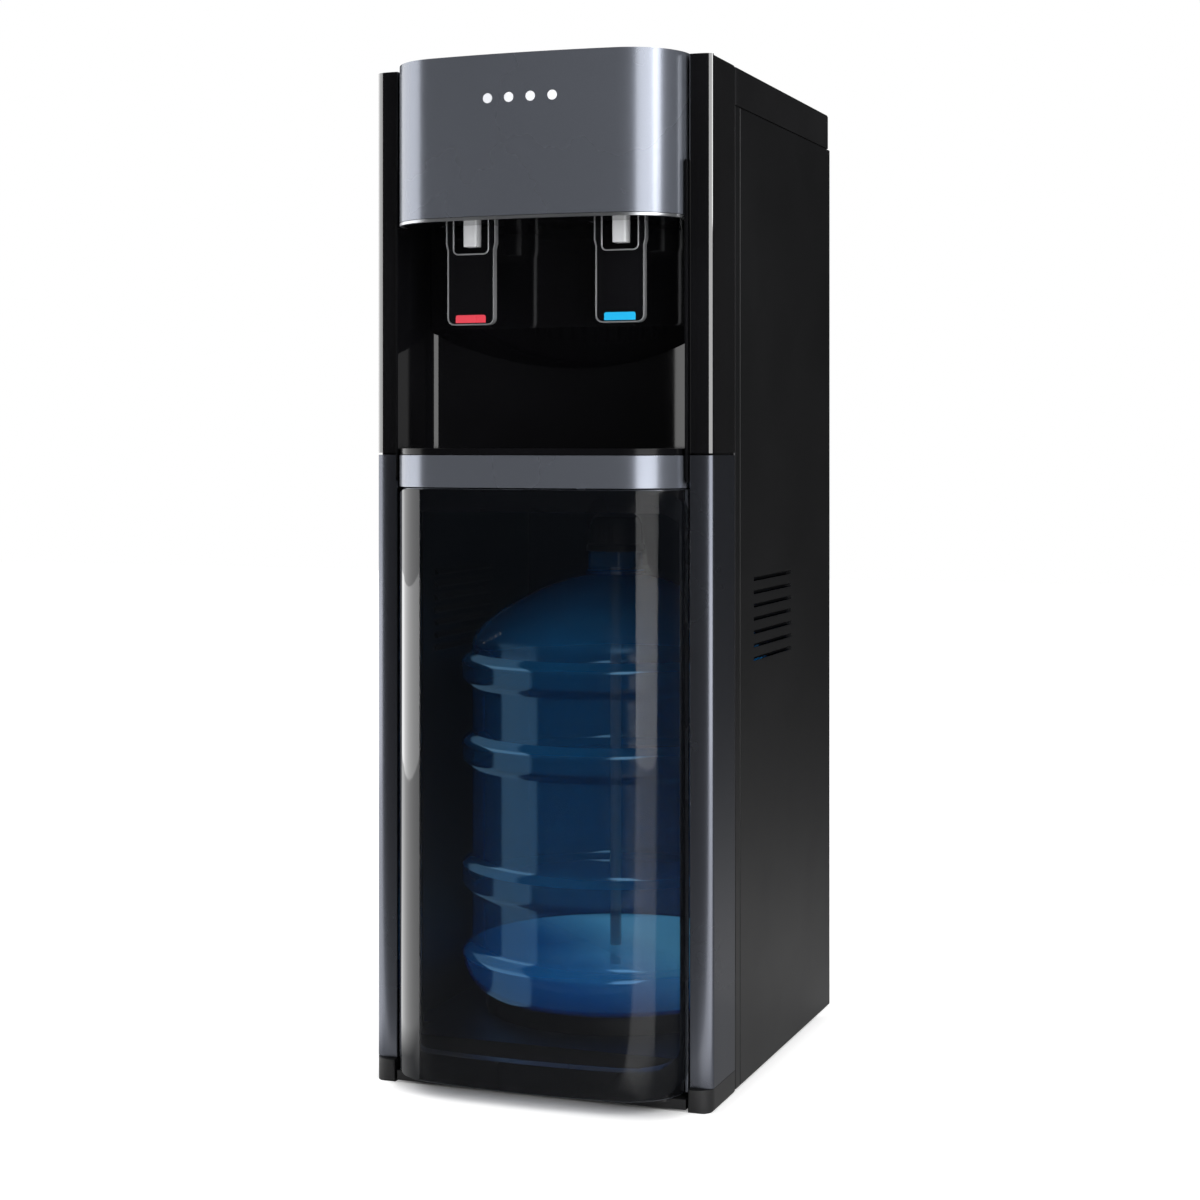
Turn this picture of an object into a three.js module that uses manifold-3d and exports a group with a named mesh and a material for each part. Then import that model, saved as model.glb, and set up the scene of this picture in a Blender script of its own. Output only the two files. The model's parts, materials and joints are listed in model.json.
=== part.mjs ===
// A free-standing bottom-loading water cooler, in millimetres, +Z up.
// The origin is on the floor under the middle of the cabinet, and the front faces -Y.
import * as THREE from 'three';
import { mergeVertices } from 'three/addons/utils/BufferGeometryUtils.js';
import Module from 'manifold-3d';

const wasm = await Module();
wasm.setup();

// ---------------------------------------------------------------- driving dimensions

// Cabinet
const HEIGHT = 1000; // floor to the top of the front pillars
const WIDTH = 350; // across the side panels
const DEPTH = 446; // front of the pillars to the rear edges of the side panels
const GAP = 0.3; // air between two pieces that touch
const SEAM = 1.2; // visible seam between two front pieces

// Bowed front, shared by the control panel, the band, the drip tray and the door
const BOW = 46; // how far it stands ahead of the pillars
const BOW_GAP = 3.3; // from its sides to the pillars
const BOW_RADIUS = 900; // shallow arc across the middle
const ROLL_RADIUS = 60; // rolled end on each side
const FRONT_WALL = 3;

// Levels
const FOOT_HEIGHT = 22;
const FOOT_ROUND = 3;
const PLINTH_BOTTOM = 2;
const PLINTH_TOP = 12;
const PLINTH_INSET = 2; // behind the pillar front
const PLINTH_WALL = 4;
const DOOR_BOTTOM = 15;
const BAND_HEIGHT = 31;
const NICHE_HEIGHT = 228; // band to control panel
const PANEL_HEIGHT = 153.8;
const PANEL_RISE = 2; // panel top above the pillars

// Front pillars
const PILLAR_WIDTH = 23;
const PILLAR_SIDE = 80; // how far they wrap round each side
const PILLAR_CORNER = 16;
const PILLAR_EDGE = 3; // small radius beside the door
const PILLAR_WALL = 3;
const PILLAR_RETURN = 45;
const PILLAR_SPLIT_GAP = 2;
const PILLAR_TOP_ROUND = 4;

// Side panels, rear panel and top cover
const SHEET = 1.5;
const SIDE_FLANGE = 17;
const SIDE_BOTTOM = 3;
const BEAD_OFFSET = 16.5; // pressed line behind the pillar
const BEAD_HALF = 1.5;
const BEAD_DEPTH = 1.2;
const COVER_HEIGHT = 38;
const COVER_DROP = 1; // cover top below the pillar tops
const COVER_WALL = 3;
const COVER_ROUND = 2.5;
const COVER_CORNER = 8;
const REAR_RECESS = 40; // rear panel ahead of the rear edges
const LOUVRE_COUNT = 7;
const LOUVRE_PITCH = 13.3;
const LOUVRE_DROP = 174; // lowest louvre below the top of the door
const LOUVRE_START = 145; // behind the pillar front
const LOUVRE_LENGTH = 140;
const LOUVRE_HEIGHT = 4;
const LOUVRE_HOOD = 5; // how far the hoods reach inside
const VENT_ROWS = 5; // slots in the rear panel, above the shelf
const VENT_ROW_PITCH = 18;
const VENT_RISE = 30;
const VENT_COLUMNS = 3;
const VENT_COLUMN_PITCH = 90;
const VENT_LENGTH = 60;
const VENT_HEIGHT = 6;

// Base
const BASE_SETBACK = 36; // front wall behind the pillar front, clear of the swinging door
const BASE_TOP = 40;
const BASE_FLOOR = 4;
const BASE_WALL = 3;
const BASE_GAP = 2; // from the base to the pillars
const SHELL_CLEARANCE = 1.5; // from the side panels to the sheets between them
const STEP_CLEARANCE = 4; // from the pillar's back edge to the sheets behind it
const RIB_COUNT = 3;
const RIB_WIDTH = 3;
const RIB_INSET = 17; // rib ends inside the side panels
const SEAT_INNER = 10; // bottle seat, each side of the bottle's standing ring
const SEAT_OUTER = 4;
const SEAT_LEAN = 4;
const REAR_FOOT_RADIUS = 17;
const REAR_FOOT_HEIGHT = 11;
const REAR_FOOT_INSET = 40;
const STEM_RADIUS = 6;

// Door
const DOOR_FRAME_DEPTH = 18;
const DOOR_RAIL_TOP = 22;
const DOOR_RAIL_BOTTOM = 28;
const DOOR_RAIL_SIDE = 20;
const DOOR_CORNER_TOP = 22;
const DOOR_CORNER_BOTTOM = 10;
const HINGE_INSET = 18.7; // hinge axis inside the end of the bow
const HINGE_FORWARD = 26.7; // and ahead of it
const PIN_RADIUS = 3;
const PIN_LENGTH = 14;
const HINGE_PLATE = 2.2;
const HINGE_REACH = 50;
const HINGE_ARM_RADIUS = 6.5;
const HINGE_PLATE_LEFT = 22; // mounting plate, each side of the axis
const HINGE_PLATE_RIGHT = 14;
const HINGE_PLATE_DEPTH = 14;
const DOOR_LIGHT_CORNER = 18;
const CATCH_INSET = 62; // middle of the catch inside the end of the bow
const CATCH_WIDTH = 28;
const CATCH_HEIGHT = 16;
const CATCH_GAP = 1.6; // steel strip to the face of the magnet
const CATCH_BODY = 14;
const CATCH_FOOT = 34;
const CATCH_PLATE = 3;
const STRIKE_WIDTH = 24;
const STRIKE_HEIGHT = 12;
const STRIKE_SHEET = 1.5;

// Dispensing niche
const NICHE_GAP = 3; // from its sides to the pillars
const NICHE_WALL = 2.2;
const NICHE_DEPTH = 117;
const NICHE_CORNER = 14; // radius at each rear corner
const NICHE_SHOULDER = 70; // radius between the corner and the back
const NICHE_SWEEP = 311; // radius of the back
const NICHE_FLOOR = 3;
const HOUSING_SETBACK = 75;
const HOUSING_WALL = 3;
const HOUSING_DROP = 101.2; // bulkhead below the control panel
const HOUSING_RISE = 51.8; // and behind it
const HOUSING_SLOPE = 40; // fall of the underside towards the back
const PANEL_RETURN = 38; // sides of the panel behind the pillar front

// Drip tray
const TRAY_RIM = 6;
const TRAY_EDGE = 0.8; // rim inside the band's face
const TRAY_LIFT = 0.5; // rim above the band
const TRAY_BASIN_INSET = 10;
const TRAY_WALL = 2.2;
const GRILLE_THICKNESS = 2.4;
const GRILLE_INSET = 5;
const GRILLE_MARGIN = 26; // slot ends from the edge of the grille
const GRILLE_BAR = 3;
const SLOT_MARGIN = 24; // last slot from the end of the bow
const SLOT_PITCH = 13;
const SLOT_WIDTH = 5;

// Taps and levers
const TAP_INSET = 71; // inside the sides of the niche
const PIVOT_RISE = 23.8; // lever pivots above the lower edge of the control panel
const LEVER_FRONT = 19; // behind the pillar front
const LEVER_THICKNESS = 8;
const LEVER_HALF = 25;
const LEVER_FLARE = 1.5;
const LEVER_FLARE_DROP = 50; // the drops are below the pivot
const LEVER_DROP = 124;
const LEVER_CORNER = 7;
const LEVER_TOP_DROP = 2;
const LEVER_EYE = 7;
const LEVER_SLOT_FRONT = 6; // ceiling slots, behind the pillar front
const LEVER_SLOT_BACK = 44;
const NOTCH_HALF = 18.5;
const NOTCH_DROP = 54;
const NOTCH_CORNER = 5;
const RIM_WIDTH = 1.2;
const RIM_DROP = 10;
const RIM_PROUD = 0.4;
const TAB_HALF = 16;
const TAB_HEIGHT = 10;
const TAB_PROUD = 0.6;
const TAB_CORNER = 2;
const LEVER_PIN_RADIUS = 2.5;
const VALVE_HALF = 15;
const VALVE_DROP = 20;
const VALVE_RISE = 18;
const VALVE_PROUD = 6; // ahead of the lever
const VALVE_BACK = 45.7; // behind the pillar front
const SPIGOT_RADIUS = 9;
const SPIGOT_GAP = 3.6; // from its end to the back of the niche
const SPOUT_DROP = 47;
const SPOUT_HALF = 7.5;
const SPOUT_TAPER = 0.6;
const SPOUT_BORE = 4;

// Indicators
const LAMP_COUNT = 4;
const LAMP_PITCH = 22;
const LAMP_RADIUS = 5;
const LAMP_DROP = 41.8; // below the top of the control panel
const LIP_HEIGHT = 3;
const LIP_INSET = 0.2;
const LIP_WIDTH = 3.3;
const BOARD_SETBACK = 17; // circuit board behind the front of the bow
const BOARD_SHEET = 1.6;
const BOARD_MARGIN = 22;
const LAMP_STAND = 4; // lamps ahead of the board

// Bottle
const BOTTLE_BOTTOM = 58;
const BOTTLE_SIDE_GAP = 13; // widest part to the outside of the cabinet
const BOTTLE_REAR_GAP = 20; // widest part to the rear panel
const BOTTLE_FRONT_GAP = 58; // and to the pillar front
const BOTTLE_WALL = 2.5;
const SHOULDER_HEIGHT = 72;
const NECK_HEIGHT = 24;
const NECK_RADIUS = 29.5;
const NECK_CLEARANCE = 74.2; // neck to the shelf
const RING_RISE = 71; // lowest ring above the bulge
const RING_DROP = 27; // highest ring below the shoulder
const RING_SPLIT = 0.6075; // middle ring, as a part of the way up
const RING_HALF = 19;
const RING_CREST = 9;
const RING_PROUD = 10.5;
const FOOT_INSET = 32; // standing ring inside the widest part
const BOTTLE_LIFT = 8; // middle of the base above the standing ring
const BOTTLE_BULGE_TOP = 110;
const COLLAR_WIDTH = 2.5;
const CAP_HEIGHT = 40;
const CAP_RADIUS = 31;
const PLUG_DEPTH = 16;
const BARB_RADIUS = 6;
const BARB_LENGTH = 44;
const BARB_DROP = 12;
const TUBE_RADIUS = 6;
const TUBE_BORE = 4;
const TUBE_CLEARANCE = 24; // probe end above the underside of the bottle

// Inside
const SHELF_THICKNESS = 2;
const DECK_DROP = 203; // below the top cover
const DECK_THICKNESS = 2;
const DECK_FLANGE = 18;
const DECK_SETBACK = 20; // behind the niche, and ahead of the rear panel
const TANK_SETBACK = 123; // tank axes behind the niche
const COLD_TANK = { side: 1, radius: 78, height: 160, gap: 10 };
const HOT_TANK = { side: -1, radius: 60, height: 150, gap: 20 };
const COMPRESSOR_OFFSET = 96; // from the hose
const COMPRESSOR_SETBACK = 84; // ahead of the rear panel
const COMPRESSOR_RADIUS = 64;
const COMPRESSOR_HEIGHT = 136;
const COMPRESSOR_CROWN = 36; // rounded top
const PUMP_INSET = 60; // inside the side panel
const HOSE_OFFSET = 40; // from the pump
const HOSE_SETBACK = 77; // behind the bottle's axis
const HOSE_BENDS = [14, 34, 50]; // behind the barb
const HOSE_SWAY = [-1, -8, -28, -52]; // sideways on its way to the shelf
const CONDENSER_PITCH = 50;
const CONDENSER_MARGIN = 38; // inside the side flanges
const CONDENSER_TUBE = 2.8;
const CONDENSER_BOTTOM = 70;
const CONDENSER_CLEARANCE = 80; // below the service cover
const CONDENSER_INSET = 14; // tube ahead of the rear edges
const RAIL_INSET = 20; // outer rails inside the bends
const RAIL_HALF = 5;
const RAIL_SHEET = 2.7;
const RAIL_MARGIN = 12;
const HOSE_RADIUS = 4.5;

// Rear service cover
const SERVICE_WALL = 3;
const SERVICE_RISE = 12; // above the tank deck
const SERVICE_CLEARANCE = 2;
const SERVICE_CORNER = 8;
const SERVICE_SETBACK = 0.5; // inside the rear edges
const SERVICE_VENTS = 6;
const SERVICE_VENT_PITCH = 12;
const SERVICE_VENT_RISE = 85; // above the lower edge of the cover
const SERVICE_VENT_LEFT = -60;
const SERVICE_VENT_RIGHT = 40;
const SWITCH_INSET = 38; // inside the side of the cover
const SWITCH_PITCH = 34;
const SWITCH_DROP = 54.8;
const SWITCH_HALF_WIDTH = 6.6;
const SWITCH_HALF_HEIGHT = 11;
const SWITCH_WINDOW = 1.4; // clearance round a rocker
const SWITCH_TILT = THREE.MathUtils.degToRad(7);
const INLET_RISE = 42;
const INLET_HALF_WIDTH = 15.5;
const INLET_HALF_HEIGHT = 11.5;
const INLET_DEPTH = 24;
const INLET_WALL = 3.5;
const DRAIN_X = 0;
const DRAIN_RISE = 30;
const DRAIN_RADIUS = 10;
const DRAIN_RIBS = 10;
const DRAIN_SHANK = 7;
const DRAIN_LENGTH = 22;

// ---------------------------------------------------------------- places worked out from them

const FRONT_Y = -(DEPTH + BOW) / 2;
const PILLAR_Y = FRONT_Y + BOW;
const REAR_Y = PILLAR_Y + DEPTH;
const HALF = WIDTH / 2;
const PILLAR_BACK = PILLAR_Y + PILLAR_SIDE;

const PILLAR_INNER_X = HALF - PILLAR_WIDTH;
const BOW_HALF_WIDTH = PILLAR_INNER_X - BOW_GAP;
const NICHE_HALF_WIDTH = PILLAR_INNER_X - NICHE_GAP;
const TAP_X = NICHE_HALF_WIDTH - TAP_INSET;
const BASE_HALF_FRONT = PILLAR_INNER_X - BASE_GAP;

const PANEL_TOP = HEIGHT + PANEL_RISE;
const PANEL_BOTTOM = PANEL_TOP - PANEL_HEIGHT;
const BAND_TOP = PANEL_BOTTOM - NICHE_HEIGHT;
const BAND_BOTTOM = BAND_TOP - BAND_HEIGHT;
const DOOR_TOP = BAND_BOTTOM - SEAM;
const COVER_TOP = HEIGHT - COVER_DROP;
const COVER_BOTTOM = COVER_TOP - COVER_HEIGHT;
const SHELF_BOTTOM = BAND_BOTTOM + FRONT_WALL;
const SHELF_TOP = SHELF_BOTTOM + SHELF_THICKNESS;
const NICHE_BOTTOM = SHELF_TOP + 2 * GAP;
const NICHE_FLOOR_TOP = NICHE_BOTTOM + NICHE_FLOOR;
const HOUSING_TOP = PANEL_BOTTOM + HOUSING_RISE;
const HOUSING_BOTTOM = PANEL_BOTTOM - HOUSING_DROP;
const DECK_Z = COVER_BOTTOM - DECK_DROP;

const ROLL_X = BOW_HALF_WIDTH - ROLL_RADIUS;
const BOW_CENTRE_Y = FRONT_Y + BOW_RADIUS;
const ROLL_Y = BOW_CENTRE_Y - Math.sqrt((BOW_RADIUS - ROLL_RADIUS) ** 2 - ROLL_X ** 2);
const ROLL_TURN = Math.atan2(ROLL_X, BOW_CENTRE_Y - ROLL_Y);
const HINGE_X = BOW_HALF_WIDTH - HINGE_INSET;
const HINGE_Y = ROLL_Y - HINGE_FORWARD;
const CATCH_X = CATCH_INSET - BOW_HALF_WIDTH;
const REAR_PANEL_Y = REAR_Y - REAR_RECESS;
const SHEET_HALF = HALF - SHEET - SHELL_CLEARANCE; // half width of the sheets between the side panels
const STEP_Y = PILLAR_BACK + STEP_CLEARANCE;
const NICHE_BACK = PILLAR_Y + NICHE_DEPTH;
const NICHE_CENTRE_Y = NICHE_BACK - NICHE_SWEEP;

const LEVER_PIVOT_Z = PANEL_BOTTOM + PIVOT_RISE;
const LEVER_BOTTOM = LEVER_PIVOT_Z - LEVER_DROP;
const LEVER_FLARE_Z = LEVER_PIVOT_Z - LEVER_FLARE_DROP;
const LEVER_TOP = LEVER_PIVOT_Z - LEVER_TOP_DROP;
const NOTCH_BOTTOM = LEVER_PIVOT_Z - NOTCH_DROP;
const RIM_TOP = LEVER_PIVOT_Z - RIM_DROP;
const VALVE_BOTTOM = LEVER_PIVOT_Z - VALVE_DROP;
const SPOUT_BOTTOM = LEVER_PIVOT_Z - SPOUT_DROP;

const BOTTLE_ROOM = REAR_PANEL_Y - BOTTLE_REAR_GAP - PILLAR_Y - BOTTLE_FRONT_GAP;
const BOTTLE_RING_RADIUS = Math.min(HALF - BOTTLE_SIDE_GAP, BOTTLE_ROOM / 2);
const BOTTLE_RADIUS = BOTTLE_RING_RADIUS - RING_PROUD;
const BOTTLE_FOOT = BOTTLE_RING_RADIUS - FOOT_INSET;
const BOTTLE_Y = REAR_PANEL_Y - BOTTLE_REAR_GAP - BOTTLE_RING_RADIUS;
const NECK_TOP = SHELF_BOTTOM - NECK_CLEARANCE;
const NECK_BOTTOM = NECK_TOP - NECK_HEIGHT;
const BOTTLE_SHOULDER = NECK_BOTTOM - SHOULDER_HEIGHT;

const PUMP_X = PUMP_INSET - SHEET_HALF;
const HOSE_X = PUMP_X + HOSE_OFFSET;
const HOSE_Y = BOTTLE_Y + HOSE_SETBACK;
const COMPRESSOR_X = HOSE_X + COMPRESSOR_OFFSET;

const finish = (color, roughness, metalness = 0) => ({ color, roughness, metalness });
const GUNMETAL = finish('#4d525d', 0.35, 0.6);
const GLOSS_BLACK = finish('#0b0c0e', 0.12);
const SATIN_BLACK = finish('#202123', 0.5);
const SILVER = finish('#b9bcc2', 0.25, 0.9);
const STEEL = finish('#9a9da1', 0.4, 0.9);
const SMOKED = { ...finish('#15181c', 0.08), transparent: true, opacity: 0.45 };
const BLUE = { ...finish('#1d6fb8', 0.15), transparent: true, opacity: 0.55 };

// ---------------------------------------------------------------- geometry helpers

const cooler = new THREE.Group();
cooler.name = 'water_cooler';

function add(name, geometry, look) {
  const mesh = new THREE.Mesh(geometry, new THREE.MeshStandardMaterial(look));
  mesh.name = name;
  cooler.add(mesh);
  return mesh;
}

function solidFrom(geometry) {
  const bare = new THREE.BufferGeometry();
  bare.setAttribute('position', geometry.getAttribute('position').clone());
  if (geometry.index) bare.setIndex(geometry.index.clone());
  const merged = mergeVertices(bare, 1e-4);
  const vertProperties = merged.getAttribute('position').array;
  const triVerts = new Uint32Array(merged.index.array);
  return new wasm.Manifold(new wasm.Mesh({ numProp: 3, vertProperties, triVerts }));
}

function geometryFrom(solid) {
  const mesh = solid.getMesh();
  const geometry = new THREE.BufferGeometry();
  geometry.setAttribute('position', new THREE.BufferAttribute(new Float32Array(mesh.vertProperties), 3));
  geometry.setIndex(new THREE.BufferAttribute(new Uint32Array(mesh.triVerts), 1));
  return geometry;
}

function cut(base, ...tools) {
  return geometryFrom(tools.reduce((solid, tool) => solid.subtract(solidFrom(tool)), solidFrom(base)));
}

function join(...pieces) {
  return geometryFrom(pieces.map(solidFrom).reduce((solid, piece) => solid.add(piece)));
}

function keep(base, mask) {
  return geometryFrom(solidFrom(base).intersect(solidFrom(mask)));
}

// Points along an arc, angles in degrees.
function arc(x, y, radius, from, to, segments = 6) {
  return Array.from({ length: segments + 1 }, (_, i) => {
    const angle = THREE.MathUtils.degToRad(from + ((to - from) * i) / segments);
    return [x + radius * Math.cos(angle), y + radius * Math.sin(angle)];
  });
}

function outline(points, holes = []) {
  const shape = new THREE.Shape(points.map(([x, y]) => new THREE.Vector2(x, y)));
  shape.holes = holes.map((hole) => new THREE.Path(hole.map(([x, y]) => new THREE.Vector2(x, y))));
  return shape;
}

function extruded(points, depth, holes) {
  return new THREE.ExtrudeGeometry(outline(points, holes), { depth, bevelEnabled: false });
}

// A plan outline (x, y) raised from one level to another.
function raised(points, low, high, holes) {
  return extruded(points, high - low, holes).translate(0, 0, low);
}

// A side outline (y, z) drawn out along X.
function alongX(points, low, high, holes) {
  const turn = new THREE.Matrix4().makeBasis(
    new THREE.Vector3(0, 1, 0),
    new THREE.Vector3(0, 0, 1),
    new THREE.Vector3(1, 0, 0),
  );
  return extruded(points, high - low, holes).applyMatrix4(turn).translate(low, 0, 0);
}

// A front outline (x, z) drawn out along Y.
function alongY(points, low, high, holes) {
  return extruded(points, high - low, holes).rotateX(Math.PI / 2).translate(0, high, 0);
}

// A half outline (radius, z) turned about an upright axis.
function turned(points, segments = 32) {
  const profile = points.map(([radius, z]) => new THREE.Vector2(radius, z));
  return new THREE.LatheGeometry(profile, segments).rotateX(Math.PI / 2);
}

const box = (x0, x1, y0, y1, z0, z1) =>
  new THREE.BoxGeometry(x1 - x0, y1 - y0, z1 - z0).translate((x0 + x1) / 2, (y0 + y1) / 2, (z0 + z1) / 2);

const disc = (radius, low, high, segments = 24) =>
  turned([[0, low], [radius, low], [radius, high], [0, high]], segments);

const mirrored = (points) => points.map(([x, y]) => [-x, y]);

function roundedRect(x0, x1, y0, y1, radius, segments = 4) {
  return [
    ...arc(x0 + radius, y0 + radius, radius, 180, 270, segments),
    ...arc(x1 - radius, y0 + radius, radius, 270, 360, segments),
    ...arc(x1 - radius, y1 - radius, radius, 0, 90, segments),
    ...arc(x0 + radius, y1 - radius, radius, 90, 180, segments),
  ];
}

// A pipe that runs through chosen points, with one ring of its section at each of them.
class Route extends THREE.Curve {
  constructor(points) {
    super();
    this.points = points;
  }
  at(index) {
    return this.points[THREE.MathUtils.clamp(index, 0, this.points.length - 1)];
  }
  getPoint(t) {
    return this.at(Math.round(t * (this.points.length - 1))).clone();
  }
  getTangent(t) {
    const index = Math.round(t * (this.points.length - 1));
    return this.at(index + 1).clone().sub(this.at(index - 1)).normalize();
  }
  getUtoTmapping(u) {
    return u;
  }
}

function pipe(points, radius, sides = 6) {
  const section = outline(arc(0, 0, radius, 0, 360 - 360 / sides, sides - 1));
  const extrudePath = new Route(points);
  return new THREE.ExtrudeGeometry(section, { extrudePath, steps: points.length - 1, bevelEnabled: false });
}

// ---------------------------------------------------------------- shared outlines

// The bowed front in plan, from its left back end to its right back end.
function bow(inset, backY = ROLL_Y) {
  const turn = THREE.MathUtils.radToDeg(ROLL_TURN);
  const roll = ROLL_RADIUS - inset;
  const front = arc(0, BOW_CENTRE_Y, BOW_RADIUS - inset, 270 - turn, 270 + turn, 6);
  const left = arc(-ROLL_X, ROLL_Y, roll, 180, 270 - turn, 6);
  const right = arc(ROLL_X, ROLL_Y, roll, 270 + turn, 360, 6);
  const points = [...left.slice(0, -1), ...front, ...right.slice(1)];
  const halfWidth = BOW_HALF_WIDTH - inset;
  return backY > ROLL_Y ? [[-halfWidth, backY], ...points, [halfWidth, backY]] : points;
}

// Y of the bowed front, or of a face inside it, at one X.
function bowAt(x, inset) {
  const [arcRadius, rollRadius] = [BOW_RADIUS - inset, ROLL_RADIUS - inset];
  const rolled = Math.abs(x) > arcRadius * Math.sin(ROLL_TURN);
  if (rolled) return ROLL_Y - Math.sqrt(rollRadius ** 2 - (Math.abs(x) - ROLL_X) ** 2);
  return BOW_CENTRE_Y - Math.sqrt(arcRadius ** 2 - x ** 2);
}

const bowShell = (outer, inner, backY) => [...bow(outer, backY), ...bow(inner, backY).reverse()];

// The niche in plan, from its right front end round its back to its left front end. Each rear corner
// runs through a wider curve into the shallow curve of the back.
function nicheCurve(inset, frontY) {
  const spread = (NICHE_SHOULDER - NICHE_CORNER) * Math.SQRT1_2;
  const reach = NICHE_SWEEP - NICHE_SHOULDER;
  const turn = Math.asin((NICHE_HALF_WIDTH - NICHE_CORNER - spread) / reach);
  const [x, y] = [reach * Math.sin(turn), NICHE_CENTRE_Y + reach * Math.cos(turn)];
  const end = 90 - THREE.MathUtils.radToDeg(turn);
  const right = [
    [NICHE_HALF_WIDTH - inset, frontY],
    ...arc(x + spread, y + spread, NICHE_CORNER - inset, 0, 45, 3),
    ...arc(x, y, NICHE_SHOULDER - inset, 45, end, 3).slice(1),
  ];
  const back = arc(0, NICHE_CENTRE_Y, NICHE_SWEEP - inset, end, 180 - end, 8).slice(1, -1);
  return [...right, ...back, ...mirrored(right).reverse()];
}

// The pillar in plan, on the right-hand side.
function pillarOuter() {
  const cornerX = HALF - PILLAR_CORNER;
  return [
    ...arc(PILLAR_INNER_X + PILLAR_EDGE, PILLAR_Y + PILLAR_EDGE, PILLAR_EDGE, 180, 270, 3),
    ...arc(cornerX, PILLAR_Y + PILLAR_CORNER, PILLAR_CORNER, 270, 360, 5),
    [HALF, PILLAR_BACK],
  ];
}

function pillarChannel() {
  const cornerX = HALF - PILLAR_CORNER;
  const inner = PILLAR_INNER_X + PILLAR_WALL;
  return [
    [PILLAR_INNER_X, PILLAR_Y + PILLAR_RETURN],
    ...pillarOuter(),
    [HALF - PILLAR_WALL, PILLAR_BACK],
    ...arc(cornerX, PILLAR_Y + PILLAR_CORNER, PILLAR_CORNER - PILLAR_WALL, 360, 270, 5),
    [inner, PILLAR_Y + PILLAR_WALL],
    [inner, PILLAR_Y + PILLAR_RETURN],
  ];
}

const pillarFootprint = () => [...pillarOuter(), [PILLAR_INNER_X, PILLAR_BACK]];

// Left and right copies of a piece drawn for the right-hand side.
const SIDES = [['left', -1], ['right', 1]];
const forSide = (points, side) => (side < 0 ? mirrored(points) : points);

// ---------------------------------------------------------------- base and feet

function basePlan(inset) {
  const front = BASE_HALF_FRONT - inset;
  const side = SHEET_HALF - inset;
  const frontY = PILLAR_Y + BASE_SETBACK + inset;
  const stepY = STEP_Y + inset;
  const backY = REAR_PANEL_Y - SHEET - inset;
  return [
    [-front, frontY], [front, frontY], [front, stepY], [side, stepY], [side, backY],
    [-side, backY], [-side, stepY], [-front, stepY],
  ];
}

function basePlinth() {
  const [half, wall] = [BASE_HALF_FRONT, PLINTH_WALL];
  const front = PILLAR_Y + PLINTH_INSET;
  const back = PILLAR_Y + BASE_SETBACK + 1;
  return cut(
    box(-half, half, front, back, PLINTH_BOTTOM, PLINTH_TOP),
    box(wall - half, half - wall, front + wall, back - wall, 0, PLINTH_TOP - BASE_WALL),
  );
}

// The raised ring that the bottle stands on.
function bottleSeat() {
  const inner = BOTTLE_FOOT - SEAT_INNER;
  const outer = BOTTLE_FOOT + SEAT_OUTER;
  const top = BOTTLE_BOTTOM - GAP;
  const profile = [[inner, BASE_TOP - 1], [outer + SEAT_LEAN, BASE_TOP - 1], [outer + SEAT_LEAN, top - 10],
    [outer, top], [inner, top], [inner, BASE_TOP - 1]];
  return turned(profile, 20).translate(0, BOTTLE_Y, 0);
}

function baseTray() {
  const pan = cut(
    raised(basePlan(0), SIDE_BOTTOM, BASE_TOP),
    raised(basePlan(BASE_WALL), 0, BASE_TOP - BASE_FLOOR),
  );
  const front = PILLAR_Y + BASE_SETBACK;
  const pitch = (REAR_PANEL_Y - front) / (RIB_COUNT + 1);
  const ribEnd = HALF - RIB_INSET;
  const ribs = Array.from({ length: RIB_COUNT }, (_, i) => {
    const y = front + (i + 1) * pitch;
    return box(-ribEnd, ribEnd, y, y + RIB_WIDTH, PLINTH_TOP, BASE_TOP - 1);
  });
  return join(pan, basePlinth(), bottleSeat(), ...ribs);
}

add('base_tray', baseTray(), SATIN_BLACK);

function frontFoot(side) {
  const round = FOOT_ROUND;
  const block = raised(forSide(pillarFootprint(), side), 0, FOOT_HEIGHT);
  const front = [[PILLAR_INNER_X - 1, 0], ...arc(HALF - round, round, round, 270, 360, 4),
    [HALF, FOOT_HEIGHT], [PILLAR_INNER_X - 1, FOOT_HEIGHT]];
  const profile = [...arc(PILLAR_Y + round, round, round, 180, 270, 4),
    [PILLAR_BACK + 1, 0], [PILLAR_BACK + 1, FOOT_HEIGHT], [PILLAR_Y, FOOT_HEIGHT]];
  const rounded = keep(block, alongY(forSide(front, side), PILLAR_Y - 1, PILLAR_BACK + 2));
  return keep(rounded, alongX(profile, -HALF - 1, HALF + 1));
}

// A levelling foot whose stem stands up inside the base.
function rearFoot(side) {
  const top = BASE_TOP - BASE_FLOOR - GAP;
  const edge = REAR_FOOT_HEIGHT - 4;
  const profile = [[0, 0], [REAR_FOOT_RADIUS - 2, 0], [REAR_FOOT_RADIUS, 2], [REAR_FOOT_RADIUS, edge],
    [STEM_RADIUS, REAR_FOOT_HEIGHT], [STEM_RADIUS, top], [0, top]];
  return turned(profile, 12).translate(side * (HALF - REAR_FOOT_INSET), REAR_PANEL_Y - REAR_FOOT_INSET, 0);
}

for (const [name, side] of SIDES) {
  add('front_foot_' + name, frontFoot(side), SATIN_BLACK);
  add('rear_foot_' + name, rearFoot(side), SATIN_BLACK);
}

// ---------------------------------------------------------------- cabinet shell

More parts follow.
